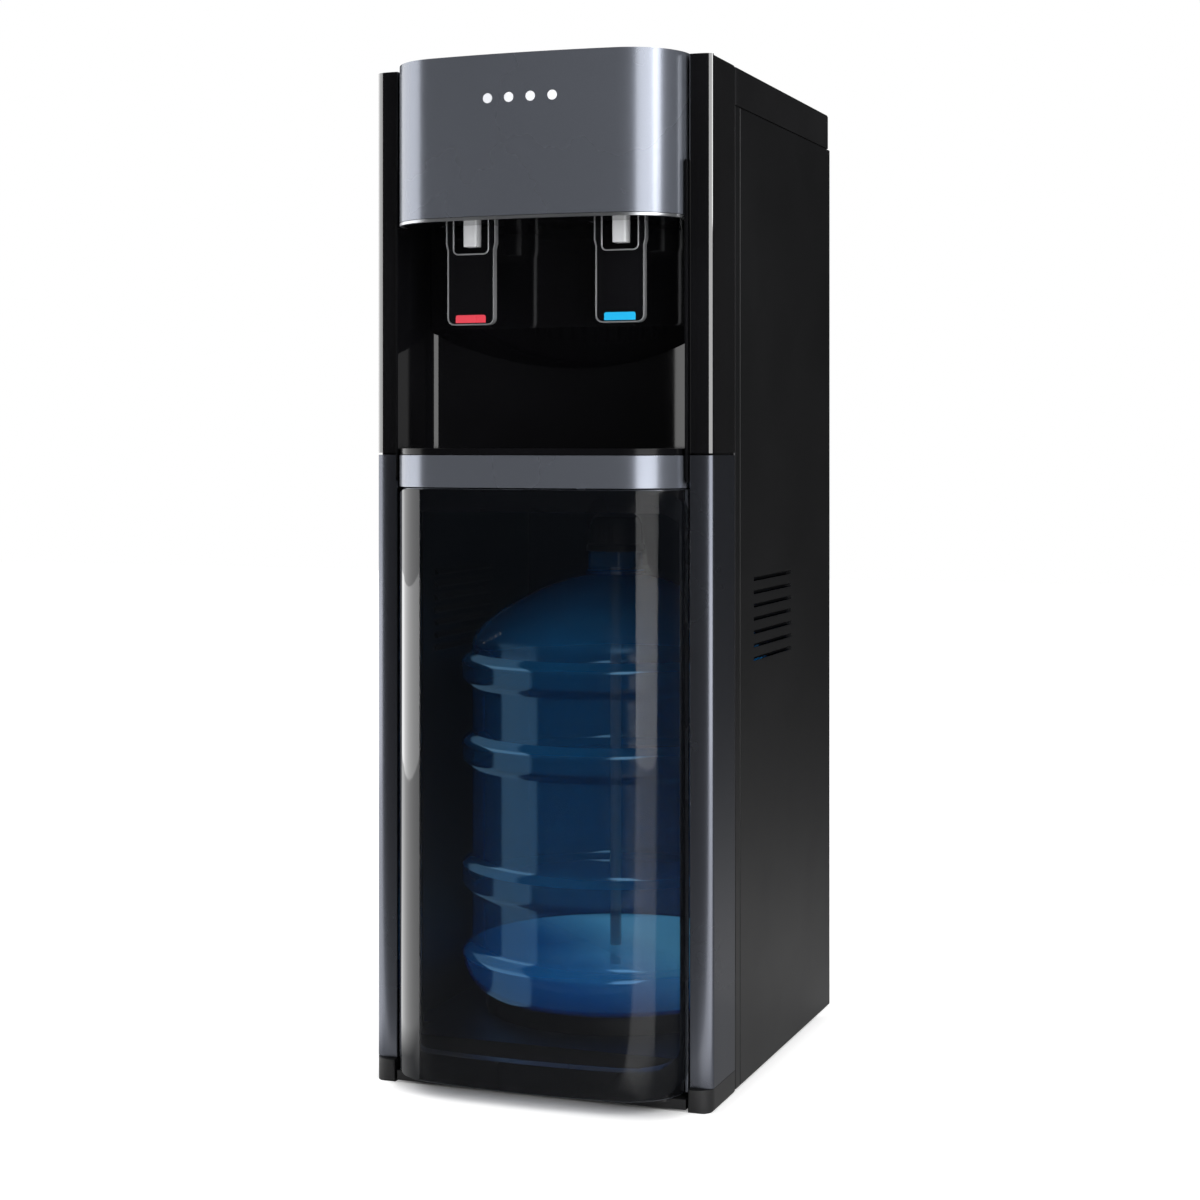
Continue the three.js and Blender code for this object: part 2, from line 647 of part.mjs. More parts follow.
function sidePlan() {
  const front = PILLAR_BACK + SEAM;
  const bead = front + BEAD_OFFSET;
  const inside = HALF - SHEET;
  const flange = HALF - SIDE_FLANGE;
  return [
    [flange, front], [HALF, front],
    [HALF, bead - BEAD_HALF], [HALF - BEAD_DEPTH, bead], [HALF, bead + BEAD_HALF],
    [HALF, REAR_Y], [flange, REAR_Y], [flange, REAR_Y - SHEET], [inside, REAR_Y - SHEET],
    [inside, bead + BEAD_HALF], [inside - BEAD_DEPTH, bead], [inside, bead - BEAD_HALF],
    [inside, front + SHEET], [flange, front + SHEET],
  ];
}

// One louvre: the slot that is cut, and the pressed hood behind it with its two closed ends.
function louvre(index, side) {
  const low = DOOR_TOP - LOUVRE_DROP + index * LOUVRE_PITCH;
  const high = low + LOUVRE_HEIGHT;
  const inside = HALF - SHEET;
  const start = PILLAR_Y + LOUVRE_START;
  const end = start + LOUVRE_LENGTH;
  const slot = [[inside - 1, low], [HALF + 1, low], [HALF + 1, high], [inside - 1, high]];
  const tip = inside - LOUVRE_HOOD;
  const hood = [[inside + 0.2, high + 1.5], [tip, low], [tip - 0.6, low + 0.6], [inside + 0.2, high + 2.6]];
  const cheek = forSide([[inside + 0.2, low - 0.5], ...hood.slice(1)], side);
  return [
    alongY(forSide(slot, side), start, end),
    alongY(forSide(hood, side), start - 0.5, end + 0.5),
    alongY(cheek, start - 1.2, start - 0.2),
    alongY(cheek, end + 0.2, end + 1.2),
  ];
}

function sidePanel(side) {
  const sheet = raised(forSide(sidePlan(), side), SIDE_BOTTOM, COVER_BOTTOM - SEAM);
  const louvres = Array.from({ length: LOUVRE_COUNT }, (_, i) => louvre(i, side));
  const slotted = cut(sheet, ...louvres.map(([slot]) => slot));
  return join(slotted, ...louvres.flatMap(([, ...hood]) => hood));
}

for (const [name, side] of SIDES) add('side_panel_' + name, sidePanel(side), SATIN_BLACK);

function rearPanel() {
  const low = SIDE_BOTTOM + 2;
  const high = COVER_BOTTOM - SEAM;
  const slots = [];
  for (let row = 0; row < VENT_ROWS; row += 1) {
    for (let column = 0; column < VENT_COLUMNS; column += 1) {
      const x = (column - (VENT_COLUMNS - 1) / 2) * VENT_COLUMN_PITCH;
      const z = SHELF_TOP + VENT_RISE + row * VENT_ROW_PITCH;
      slots.push(box(x - VENT_LENGTH / 2, x + VENT_LENGTH / 2, REAR_PANEL_Y - 2 * SHEET, REAR_PANEL_Y + 1,
        z, z + VENT_HEIGHT));
    }
  }
  return cut(box(-SHEET_HALF, SHEET_HALF, REAR_PANEL_Y - SHEET, REAR_PANEL_Y, low, high), ...slots);
}

add('rear_panel', rearPanel(), SATIN_BLACK);

function topCover() {
  const front = PILLAR_BACK + SEAM;
  const plan = roundedRect(-HALF, HALF, front, REAR_Y, COVER_CORNER, 4);
  const lid = new THREE.ExtrudeGeometry(outline(plan), {
    depth: COVER_HEIGHT, bevelThickness: COVER_ROUND, bevelSize: COVER_ROUND,
    bevelOffset: -COVER_ROUND, bevelSegments: 2,
  }).translate(0, 0, COVER_BOTTOM - COVER_ROUND);
  const block = keep(lid, box(-HALF, HALF, front, REAR_Y, COVER_BOTTOM, COVER_TOP));
  const inside = roundedRect(-HALF + COVER_WALL, HALF - COVER_WALL, front + COVER_WALL,
    REAR_Y - COVER_WALL, COVER_CORNER - COVER_WALL, 2);
  return cut(block, raised(inside, COVER_BOTTOM - 1, COVER_TOP - COVER_WALL));
}

add('top_cover', topCover(), SATIN_BLACK);

// ---------------------------------------------------------------- front pillars

function upperPillar(side) {
  const low = BAND_TOP + PILLAR_SPLIT_GAP;
  const round = PILLAR_TOP_ROUND;
  const channel = raised(forSide(pillarChannel(), side), low, HEIGHT);
  const cap = raised(forSide(pillarFootprint(), side), HEIGHT - PILLAR_WALL, HEIGHT);
  const mask = [[PILLAR_INNER_X - 1, low], [HALF, low],
    ...arc(HALF - round, HEIGHT - round, round, 0, 90, 5), [PILLAR_INNER_X - 1, HEIGHT]];
  return keep(join(channel, cap), alongY(forSide(mask, side), PILLAR_Y - 1, PILLAR_BACK + 1));
}

for (const [name, side] of SIDES) {
  const plan = forSide(pillarChannel(), side);
  add('pillar_lower_' + name, raised(plan, FOOT_HEIGHT + GAP, BAND_TOP), GUNMETAL);
  add('pillar_upper_' + name, upperPillar(side), GLOSS_BLACK);
}

// ---------------------------------------------------------------- control panel

const lampX = (index) => (index - (LAMP_COUNT - 1) / 2) * LAMP_PITCH;
const LAMP_Z = PANEL_TOP - LAMP_DROP;
const LIP_BOTTOM = PANEL_BOTTOM - GAP - LIP_HEIGHT;

// A disc that faces the front, from one depth to another.
const facing = (radius, x, z, front, back, segments = 12) =>
  disc(radius, 0, back - front, segments).rotateX(-Math.PI / 2).translate(x, front, z);

function controlPanel() {
  const backY = PILLAR_Y + PANEL_RETURN;
  const shell = raised(bowShell(0, FRONT_WALL, backY), PANEL_BOTTOM, PANEL_TOP);
  const topPlate = raised(bow(0, PILLAR_BACK - SEAM), PANEL_TOP - FRONT_WALL, PANEL_TOP);
  const holes = Array.from({ length: LAMP_COUNT }, (_, i) =>
    facing(LAMP_RADIUS + GAP, lampX(i), LAMP_Z, FRONT_Y - 2, FRONT_Y + 12));
  return cut(join(shell, topPlate), ...holes);
}

add('control_panel', controlPanel(), GUNMETAL);

const lipPlan = bowShell(LIP_INSET, LIP_INSET + LIP_WIDTH);
add('panel_lip', raised(lipPlan, LIP_BOTTOM, PANEL_BOTTOM - GAP), SILVER);

const BOARD_FRONT = FRONT_Y + BOARD_SETBACK;

function indicatorLens(index) {
  const x = lampX(index);
  const face = bowAt(x, 0);
  const skirt = facing(LAMP_RADIUS - 1, x, LAMP_Z, face + 1.5, BOARD_FRONT - LAMP_STAND - GAP);
  return join(facing(LAMP_RADIUS, x, LAMP_Z, face, face + 2), skirt);
}

for (let i = 0; i < LAMP_COUNT; i += 1) {
  add('indicator_lens_' + (i + 1), indicatorLens(i), finish('#e9edf2', 0.2));
}

function controlBoard() {
  const half = LAMP_PITCH * (LAMP_COUNT / 2) + BOARD_MARGIN;
  const plate = box(-half, half, BOARD_FRONT, BOARD_FRONT + BOARD_SHEET, LAMP_Z - BOARD_MARGIN, LAMP_Z + 16);
  const lamps = Array.from({ length: LAMP_COUNT }, (_, i) =>
    facing(LAMP_RADIUS / 2, lampX(i), LAMP_Z, BOARD_FRONT - LAMP_STAND, BOARD_FRONT + 0.5, 10));
  const header = box(-12, 12, BOARD_FRONT + 1, BOARD_FRONT + 8, LAMP_Z - 18, LAMP_Z - 10);
  return join(plate, header, ...lamps);
}

add('control_board', controlBoard(), finish('#1f5a37', 0.5));

// ---------------------------------------------------------------- dispensing niche

const NICHE_FRONT = PILLAR_Y + 2;

function nicheLiner() {
  const wallPlan = [...nicheCurve(-NICHE_WALL, NICHE_FRONT), ...nicheCurve(0, NICHE_FRONT).reverse()];
  const wall = raised(wallPlan, NICHE_BOTTOM, HOUSING_TOP);
  const floorFront = bow(FRONT_WALL + 2 * GAP, NICHE_FRONT + 30);
  const floorPlan = [...floorFront, ...nicheCurve(-0.5, NICHE_FRONT + 30).slice(1, -1)];
  return join(wall, raised(floorPlan, NICHE_BOTTOM, NICHE_FLOOR_TOP));
}

add('niche_liner', nicheLiner(), GLOSS_BLACK);

function tapHousing() {
  const front = PILLAR_Y + HOUSING_SETBACK;
  const back = NICHE_BACK;
  const wall = HOUSING_WALL;
  const low = HOUSING_BOTTOM - HOUSING_SLOPE;
  const profile = [[front, HOUSING_TOP], [front, HOUSING_BOTTOM], [back, low], [back, low + wall],
    [front + wall, HOUSING_BOTTOM + wall], [front + wall, HOUSING_TOP]];
  const room = raised(nicheCurve(GAP, FRONT_Y), low - 1, HOUSING_TOP);
  const bulkhead = alongX(profile, -NICHE_HALF_WIDTH, NICHE_HALF_WIDTH);
  const ceiling = raised(bow(LIP_INSET + LIP_WIDTH + GAP, front + 1), LIP_BOTTOM, LIP_BOTTOM + wall);
  const reach = LEVER_HALF + LEVER_FLARE + 1.5;
  const openings = [-TAP_X, TAP_X].flatMap((x) => [
    box(x - reach, x + reach, PILLAR_Y + LEVER_SLOT_FRONT, PILLAR_Y + LEVER_SLOT_BACK,
      LIP_BOTTOM - 1, LIP_BOTTOM + wall + 1),
    facing(SPIGOT_RADIUS + 2 * GAP, x, LEVER_PIVOT_Z, front - 1, front + wall + 1),
  ]);
  return cut(keep(join(bulkhead, ceiling), room), ...openings);
}

add('tap_housing', tapHousing(), GLOSS_BLACK);
add('fascia_band', raised(bowShell(0, FRONT_WALL), BAND_BOTTOM, BAND_TOP), GUNMETAL);

// ---------------------------------------------------------------- drip tray

const RIM_BOTTOM = BAND_TOP + TRAY_LIFT;
const TRAY_RIM_TOP = RIM_BOTTOM + TRAY_RIM;

function trayPlan(inset) {
  const back = nicheCurve(inset + 0.6, 0).slice(1, -1);
  return [...bow(inset + TRAY_EDGE), ...back];
}

function dripTray() {
  const rim = raised(trayPlan(0), RIM_BOTTOM, TRAY_RIM_TOP);
  const basin = raised(trayPlan(TRAY_BASIN_INSET), NICHE_FLOOR_TOP + GAP, RIM_BOTTOM + 1);
  const floor = NICHE_FLOOR_TOP + GAP + TRAY_WALL;
  const hollow = raised(trayPlan(TRAY_BASIN_INSET + TRAY_WALL), floor, TRAY_RIM_TOP + 1);
  const rebate = raised(trayPlan(GRILLE_INSET), TRAY_RIM_TOP - GRILLE_THICKNESS - GAP, TRAY_RIM_TOP + 1);
  return cut(join(rim, basin), hollow, rebate);
}

add('drip_tray', dripTray(), GLOSS_BLACK);

function dripGrille() {
  const top = TRAY_RIM_TOP - 0.2;
  const low = top - GRILLE_THICKNESS + GAP;
  const plate = raised(trayPlan(GRILLE_INSET + GAP), low, top);
  const count = 2 * Math.floor((BOW_HALF_WIDTH - SLOT_MARGIN) / SLOT_PITCH) + 1;
  const slots = Array.from({ length: count }, (_, i) => {
    const x = (i - (count - 1) / 2) * SLOT_PITCH;
    const past = Math.max(0, Math.abs(x) - ROLL_X);
    const front = FRONT_Y + GRILLE_MARGIN + 2 * past;
    const back = NICHE_CENTRE_Y + Math.sqrt(NICHE_SWEEP ** 2 - x ** 2) - GRILLE_MARGIN;
    return box(x - SLOT_WIDTH / 2, x + SLOT_WIDTH / 2, front, back, low - 1, top + 1);
  });
  const end = (count * SLOT_PITCH) / 2;
  const barY = PILLAR_Y + TRAY_RIM;
  const bar = box(-end, end, barY, barY + GRILLE_BAR, low - GRILLE_BAR, low + 0.5);
  return join(cut(plate, ...slots), bar);
}

add('drip_grille', dripGrille(), SATIN_BLACK);

// ---------------------------------------------------------------- taps and push levers

const LEVER_Y = PILLAR_Y + LEVER_FRONT;
const PIVOT_Y = LEVER_Y + LEVER_THICKNESS / 2;

// The lever's outer outline, (x, z) about its own centre line, from the bottom left upwards.
function leverSide(inset, top) {
  const half = LEVER_HALF - inset;
  const corner = LEVER_CORNER - inset;
  return [
    ...arc(half - corner, LEVER_BOTTOM + inset + corner, corner, 270, 360, 4),
    [half, LEVER_FLARE_Z], [half + LEVER_FLARE, LEVER_FLARE_Z + 6], [half + LEVER_FLARE, top],
  ];
}

// A round piece across a lever, on its pivot.
const crosswise = (radius, from, to, segments = 10) =>
  disc(radius, 0, to - from, segments).rotateY(Math.PI / 2).translate(from, PIVOT_Y, LEVER_PIVOT_Z);

const ARM_END = LEVER_HALF + LEVER_FLARE - RIM_WIDTH - GAP;

function lever(x) {
  const side = leverSide(RIM_WIDTH + GAP, LEVER_TOP);
  const corner = arc(NOTCH_HALF - NOTCH_CORNER, NOTCH_BOTTOM + NOTCH_CORNER, NOTCH_CORNER, 0, -90, 4);
  const half = [...side, [NOTCH_HALF, LEVER_TOP], ...corner];
  const plate = alongY([...half, ...mirrored(half).reverse()], LEVER_Y, LEVER_Y + LEVER_THICKNESS);
  const right = crosswise(LEVER_EYE, NOTCH_HALF, ARM_END, 14);
  const left = crosswise(LEVER_EYE, -ARM_END, -NOTCH_HALF, 14);
  const bore = crosswise(LEVER_PIN_RADIUS + GAP, -2 * LEVER_HALF, 2 * LEVER_HALF);
  const pocket = alongY(tabOutline(GAP), LEVER_Y - 1, LEVER_Y + 1.5);
  return cut(join(plate, right, left), bore, pocket).translate(x, 0, 0);
}

function tabOutline(clearance) {
  const half = TAB_HALF + clearance;
  const low = LEVER_BOTTOM + RIM_WIDTH + 1 - clearance;
  const high = LEVER_BOTTOM + TAB_HEIGHT + clearance;
  const r = TAB_CORNER;
  const right = arc(half - r, high - r, r, 0, 90, 3);
  return [[-half, low], [half, low], ...right, ...mirrored(right).reverse()];
}

function leverRim(x) {
  const outer = leverSide(0, RIM_TOP);
  const inner = leverSide(RIM_WIDTH, RIM_TOP);
  const band = [...mirrored(outer).reverse(), ...outer, ...inner.reverse(), ...mirrored(inner).reverse()];
  return alongY(band, LEVER_Y - RIM_PROUD, LEVER_Y + LEVER_THICKNESS - 1).translate(x, 0, 0);
}

function tapValve(x) {
  const front = LEVER_Y - VALVE_PROUD;
  const back = PILLAR_Y + VALVE_BACK;
  const top = LEVER_PIVOT_Z + VALVE_RISE;
  const low = VALVE_BOTTOM;
  const side = [[front, low], [back, low], [back, top], [front + 10, top], [front, top - 10]];
  const end = NICHE_CENTRE_Y + Math.sqrt(NICHE_SWEEP ** 2 - (TAP_X + SPIGOT_RADIUS) ** 2) - SPIGOT_GAP;
  const spigot = facing(SPIGOT_RADIUS, 0, LEVER_PIVOT_Z, back - 2, end, 18);
  const bore = crosswise(LEVER_PIN_RADIUS + GAP, -2 * VALVE_HALF, 2 * VALVE_HALF);
  return cut(join(alongX(side, -VALVE_HALF, VALVE_HALF), spigot), bore).translate(x, 0, 0);
}

// A square-nosed spout that narrows a little towards its outlet.
function spout(x) {
  const top = VALVE_BOTTOM - GAP;
  const half = SPOUT_HALF;
  const tip = half - SPOUT_TAPER;
  const nose = [[-tip, SPOUT_BOTTOM], [tip, SPOUT_BOTTOM], [half, top], [-half, top]];
  const plan = roundedRect(-half, half, PIVOT_Y - half, PIVOT_Y + half, 3, 3);
  const block = keep(
    alongY(nose, PIVOT_Y - 2 * half, PIVOT_Y + 2 * half),
    raised(plan, SPOUT_BOTTOM - 1, top + 1),
  );
  const bore = disc(SPOUT_BORE, SPOUT_BOTTOM - 1, top - half, 12).translate(0, PIVOT_Y, 0);
  return cut(block, bore).translate(x, 0, 0);
}

function leverTab(x) {
  return alongY(tabOutline(0), LEVER_Y - TAB_PROUD, LEVER_Y + 1.5 - GAP).translate(x, 0, 0);
}

const TAPS = [['hot', -1, '#e2404f'], ['cold', 1, '#2bb7e8']];
for (const [name, side, colour] of TAPS) {
  const x = side * TAP_X;
  add('tap_valve_' + name, tapValve(x), SATIN_BLACK);
  add('spout_' + name, spout(x), finish('#dfe2e6', 0.3, 0.2));
  add('lever_' + name, lever(x), GLOSS_BLACK);
  add('lever_rim_' + name, leverRim(x), SILVER);
  add('lever_tab_' + name, leverTab(x), finish(colour, 0.35));
  add('lever_pin_' + name, crosswise(LEVER_PIN_RADIUS, -ARM_END, ARM_END).translate(x, 0, 0), STEEL);
}

// ---------------------------------------------------------------- door and its hinges

function doorMask(inset, cornerTop, cornerBottom, low, high) {
  const half = BOW_HALF_WIDTH - inset;
  return [
    ...arc(cornerBottom - half, low + cornerBottom, cornerBottom, 180, 270, 6),
    ...arc(half - cornerBottom, low + cornerBottom, cornerBottom, 270, 360, 6),
    ...arc(half - cornerTop, high - cornerTop, cornerTop, 0, 90, 6),
    ...arc(cornerTop - half, high - cornerTop, cornerTop, 90, 180, 6),
  ];
}

function doorFrame() {
  const shell = raised(bowShell(FRONT_WALL + GAP, DOOR_FRAME_DEPTH), DOOR_BOTTOM, DOOR_TOP);
  const corner = DOOR_LIGHT_CORNER;
  const low = DOOR_BOTTOM + DOOR_RAIL_BOTTOM;
  const light = doorMask(DOOR_RAIL_SIDE, corner, corner, low, DOOR_TOP - DOOR_RAIL_TOP);
  const bores = [DOOR_BOTTOM - 1, DOOR_TOP - PIN_LENGTH - 1].map((from) =>
    disc(PIN_RADIUS + GAP, from, from + PIN_LENGTH + 2, 12).translate(HINGE_X, HINGE_Y, 0));
  return cut(shell, alongY(light, FRONT_Y - 1, PILLAR_Y + BOW), ...bores);
}

function doorWindow() {
  const sheet = raised(bowShell(0, FRONT_WALL), DOOR_BOTTOM, DOOR_TOP);
  const mask = doorMask(0, DOOR_CORNER_TOP, DOOR_CORNER_BOTTOM, DOOR_BOTTOM + 1, DOOR_TOP - 1);
  return keep(sheet, alongY(mask, FRONT_Y - 1, PILLAR_Y + BOW));
}

add('door_frame', doorFrame(), GUNMETAL);
add('door_window', doorWindow(), SMOKED);

function hinge(plateLow, pinLow, reach) {
  const back = HINGE_Y + reach;
  const shoulder = back - HINGE_PLATE_DEPTH;
  const plan = [
    ...arc(HINGE_X, HINGE_Y, HINGE_ARM_RADIUS, 180, 360, 6),
    [HINGE_X + HINGE_ARM_RADIUS, shoulder - 6], [HINGE_X + HINGE_PLATE_RIGHT, shoulder],
    [HINGE_X + HINGE_PLATE_RIGHT, back], [HINGE_X - HINGE_PLATE_LEFT, back],
    [HINGE_X - HINGE_PLATE_LEFT, shoulder], [HINGE_X - HINGE_ARM_RADIUS, shoulder - 6],
  ];
  const pin = disc(PIN_RADIUS, pinLow, pinLow + PIN_LENGTH, 12).translate(HINGE_X, HINGE_Y, 0);
  return join(raised(plan, plateLow, plateLow + HINGE_PLATE), pin);
}

const UPPER_PLATE = SHELF_BOTTOM - GAP - HINGE_PLATE;
const LOWER_PLATE = PLINTH_TOP + GAP;
const LOWER_REACH = PILLAR_Y + BASE_SETBACK - 2 * GAP - HINGE_Y;
add('hinge_upper', hinge(UPPER_PLATE, UPPER_PLATE + 1 - PIN_LENGTH, HINGE_REACH), STEEL);
add('hinge_lower', hinge(LOWER_PLATE, LOWER_PLATE + HINGE_PLATE - 1, LOWER_REACH), STEEL);

// A magnet under the shelf, and the steel strip on the door that it holds.
function doorCatch() {
  const strip = bowAt(CATCH_X - STRIKE_WIDTH / 2, DOOR_FRAME_DEPTH + GAP + STRIKE_SHEET);
  const face = strip + CATCH_GAP;
  const high = SHELF_BOTTOM - GAP;
  const side = [[face, high - CATCH_HEIGHT], [face + CATCH_BODY, high - CATCH_HEIGHT],
    [face + CATCH_BODY, high - CATCH_PLATE], [face + CATCH_FOOT, high - CATCH_PLATE],
    [face + CATCH_FOOT, high], [face, high]];
  return alongX(side, CATCH_X - CATCH_WIDTH / 2, CATCH_X + CATCH_WIDTH / 2);
}

function doorStrike() {
  const back = DOOR_FRAME_DEPTH + GAP;
  const high = DOOR_TOP - 1;
  const low = high - STRIKE_HEIGHT;
  const half = STRIKE_WIDTH / 2;
  const strip = raised(bowShell(back, back + STRIKE_SHEET), low, high);
  return keep(strip, box(CATCH_X - half, CATCH_X + half, FRONT_Y, PILLAR_Y, low, high));
}

add('door_catch', doorCatch(), SATIN_BLACK);
add('door_strike', doorStrike(), STEEL);

// ---------------------------------------------------------------- shelves, tanks and compressor

function midShelf() {
  const backY = REAR_PANEL_Y - SHEET - 1;
  const front = bow(FRONT_WALL + 1, STEP_Y);
  const half = SHEET_HALF;
  const plan = [...front, [half, STEP_Y], [half, backY], [-half, backY], [-half, STEP_Y]];
  const hole = arc(HOSE_X, HOSE_Y, HOSE_RADIUS + 2, 0, 330, 11);
  return raised(plan, SHELF_BOTTOM, SHELF_TOP, [hole]);
}

add('mid_shelf', midShelf(), SATIN_BLACK);

// A sheet with its two side edges folded down.
function tankDeck() {
  const side = SHEET_HALF;
  const inner = side - DECK_THICKNESS;
  const low = DECK_Z - DECK_FLANGE;
  const high = DECK_Z + DECK_THICKNESS;
  const section = [[-side, low], [-inner, low], [-inner, DECK_Z], [inner, DECK_Z], [inner, low], [side, low],
    [side, high], [-side, high]];
  return alongY(section, NICHE_BACK + DECK_SETBACK, REAR_PANEL_Y - DECK_SETBACK);
}

add('tank_deck', tankDeck(), STEEL);

// A tank with a domed top and an outlet stub.
function tank({ side, radius, height, gap }) {
  const low = DECK_Z + DECK_THICKNESS + GAP;
  const top = low + height;
  const stub = 8;
  const profile = [[0, low], [radius - stub, low], [radius, low + stub], [radius, top - 24],
    [radius - 6, top - 12], [radius - 20, top - 4], [stub + 12, top], [stub, top], [stub, top + 14],
    [0, top + 14]];
  return turned(profile, 16).translate(side * (SHEET_HALF - radius - gap), NICHE_BACK + TANK_SETBACK, 0);
}

add('cold_tank', tank(COLD_TANK), finish('#d9dcdf', 0.6));
add('hot_tank', tank(HOT_TANK), STEEL);

function compressor() {
  const low = SHELF_TOP + GAP;
  const r = COMPRESSOR_RADIUS;
  const top = low + COMPRESSOR_HEIGHT;
  const weld = low + COMPRESSOR_HEIGHT / 2 - 4;
  const shoulder = top - COMPRESSOR_CROWN;
  const profile = [[0, low + 6], [r - 14, low + 6], [r - 4, low + 18], [r - 2, weld - 2], [r, weld],
    [r, weld + 4], [r - 2, weld + 6], [r - 4, shoulder], [r - 16, top - 12], [r - 40, top - 2], [0, top]];
  const feet = raised(roundedRect(-r - 16, r + 16, 18 - r, r - 18, 14, 3), low, low + 7);
  const terminals = box(r - 10, r + 18, -20, 20, weld - 14, weld + 28);
  const y = REAR_PANEL_Y - COMPRESSOR_SETBACK;
  return join(turned(profile, 16), feet, terminals).translate(COMPRESSOR_X, y, 0);
}

add('compressor', compressor(), finish('#17181a', 0.45, 0.3));

function pump() {
  const low = SHELF_TOP + GAP;
  const body = raised(roundedRect(-30, 22, -22, 22, 6, 3), low, low + 34);
  const motor = disc(17, low + 30, low + 58, 18).translate(-8, 0, 0);
  return join(body, motor).translate(PUMP_X, HOSE_Y, 0);
}

add('pump', pump(), finish('#dcdfe2', 0.5));

// ---------------------------------------------------------------- bottle and probe

// The bottle's outside, (radius, z): a rounded foot, raised rings, a domed shoulder and the neck.
function bottleProfile(offset) {
  const body = BOTTLE_RADIUS - offset;
  const ring = BOTTLE_RING_RADIUS - offset;
  const low = BOTTLE_BOTTOM + offset;
  const first = BOTTLE_BULGE_TOP + RING_RISE;
  const last = BOTTLE_SHOULDER - RING_DROP;
  const rings = [first, first + (last - first) * RING_SPLIT, last].flatMap((z) => [
    [body, z - RING_HALF], [ring, z - RING_CREST], [ring, z + RING_CREST], [body, z + RING_HALF]]);
  const shoulder = arc(0, 0, 1, 4, 74, 5).map(([c, s]) => [
    NECK_RADIUS + (body - NECK_RADIUS) * c,
    BOTTLE_SHOULDER + (NECK_BOTTOM - BOTTLE_SHOULDER - offset) * s,
  ]);
  const neck = NECK_RADIUS - offset;
  return [[BOTTLE_FOOT, low], [ring - 14, low + BOTTLE_LIFT], [ring - 3, low + 26], [ring, low + 40],
    [body, BOTTLE_BULGE_TOP + offset / 2], ...rings, ...shoulder, [neck, NECK_BOTTOM - offset]];
}

function bottle() {
  const collar = NECK_RADIUS + COLLAR_WIDTH;
  const neck = [[collar, NECK_BOTTOM], [collar, NECK_BOTTOM + 4], [NECK_RADIUS, NECK_BOTTOM + 5],
    [NECK_RADIUS, NECK_TOP], [NECK_RADIUS - BOTTLE_WALL, NECK_TOP]];
  const lift = BOTTLE_BOTTOM + BOTTLE_LIFT;
  const profile = [[0, lift + 2], [90, lift], ...bottleProfile(0), ...neck,
    ...bottleProfile(BOTTLE_WALL).reverse(), [92, lift + BOTTLE_WALL], [0, lift + 2 + BOTTLE_WALL]];
  return turned(profile, 18).translate(0, BOTTLE_Y, 0);
}

add('bottle', bottle(), BLUE);

const CAP_TOP = NECK_TOP + CAP_HEIGHT;
const BARB_Z = CAP_TOP - BARB_DROP;

function probeCap() {
  const plug = NECK_RADIUS - BOTTLE_WALL - 2 * GAP;
  const seat = NECK_TOP + GAP;
  const r = CAP_RADIUS;
  const profile = [[0, seat - PLUG_DEPTH], [plug, seat - PLUG_DEPTH], [plug, seat], [r, seat], [r, seat + 6],
    [r - 2, seat + 8], [r - 3, CAP_TOP - 12], [r - 7, CAP_TOP - 4], [r - 15, CAP_TOP], [0, CAP_TOP]];
  const barb = facing(BARB_RADIUS, 0, BARB_Z, BARB_LENGTH / 2, BARB_LENGTH);
  return join(turned(profile, 14), barb).translate(0, BOTTLE_Y, 0);
}

add('probe_cap', probeCap(), finish('#12161c', 0.4));

function probeTube() {
  const low = BOTTLE_BOTTOM + TUBE_CLEARANCE;
  const high = NECK_TOP - PLUG_DEPTH;
  const [outer, inner] = [TUBE_RADIUS, TUBE_BORE];
  const wall = [[inner, low], [outer, low], [outer, high], [inner, high], [inner, low]];
  return turned(wall, 14).translate(0, BOTTLE_Y, 0);
}

add('probe_tube', probeTube(), finish('#e5e7ea', 0.4));

// The hose from the probe's barb, round behind the neck and up through the shelf to the pump.
function suctionHose() {
  const start = BOTTLE_Y + BARB_LENGTH + GAP;
  const [near, middle, far] = HOSE_BENDS.map((bend) => start + bend);
  const [a, b, c, d] = HOSE_SWAY;
  const knots = [[0, start, BARB_Z], [a, near, BARB_Z], [b, middle, BARB_Z + 1], [c, far, BARB_Z + 6],
    [d, far, BARB_Z + 16], [HOSE_X + 2, HOSE_Y + 8, SHELF_BOTTOM - 14],
    [HOSE_X, HOSE_Y, SHELF_BOTTOM + 1], [HOSE_X, HOSE_Y, SHELF_TOP + 12]];
  const curve = new THREE.CatmullRomCurve3(knots.map(([px, py, pz]) => new THREE.Vector3(px, py, pz)));
  return pipe(curve.getPoints(17), HOSE_RADIUS);
}

add('suction_hose', suctionHose(), finish('#c9ccd0', 0.5));

// ---------------------------------------------------------------- condenser on the back

const CONDENSER_HALF = HALF - SIDE_FLANGE - CONDENSER_MARGIN;
const CONDENSER_ROOM = DECK_Z + SERVICE_RISE - CONDENSER_CLEARANCE - CONDENSER_BOTTOM;
const CONDENSER_PASSES = Math.floor(CONDENSER_ROOM / CONDENSER_PITCH) + 1;

function condenserPath() {
  const y = REAR_Y - CONDENSER_INSET;
  const radius = CONDENSER_PITCH / 2;
  const bend = arc(0, 0, radius, -90, 90, 3).slice(1, -1);
  const points = [];
  for (let pass = 0; pass < CONDENSER_PASSES; pass += 1) {
    const z = CONDENSER_BOTTOM + pass * CONDENSER_PITCH;
    const side = pass % 2 ? -1 : 1;
    points.push([-side * CONDENSER_HALF, z], [side * CONDENSER_HALF, z]);
    if (pass < CONDENSER_PASSES - 1) {
      points.push(...bend.map(([dx, dz]) => [side * (CONDENSER_HALF + dx), z + radius + dz]));
    }
  }
  return points.map(([px, pz]) => new THREE.Vector3(px, y, pz));
}

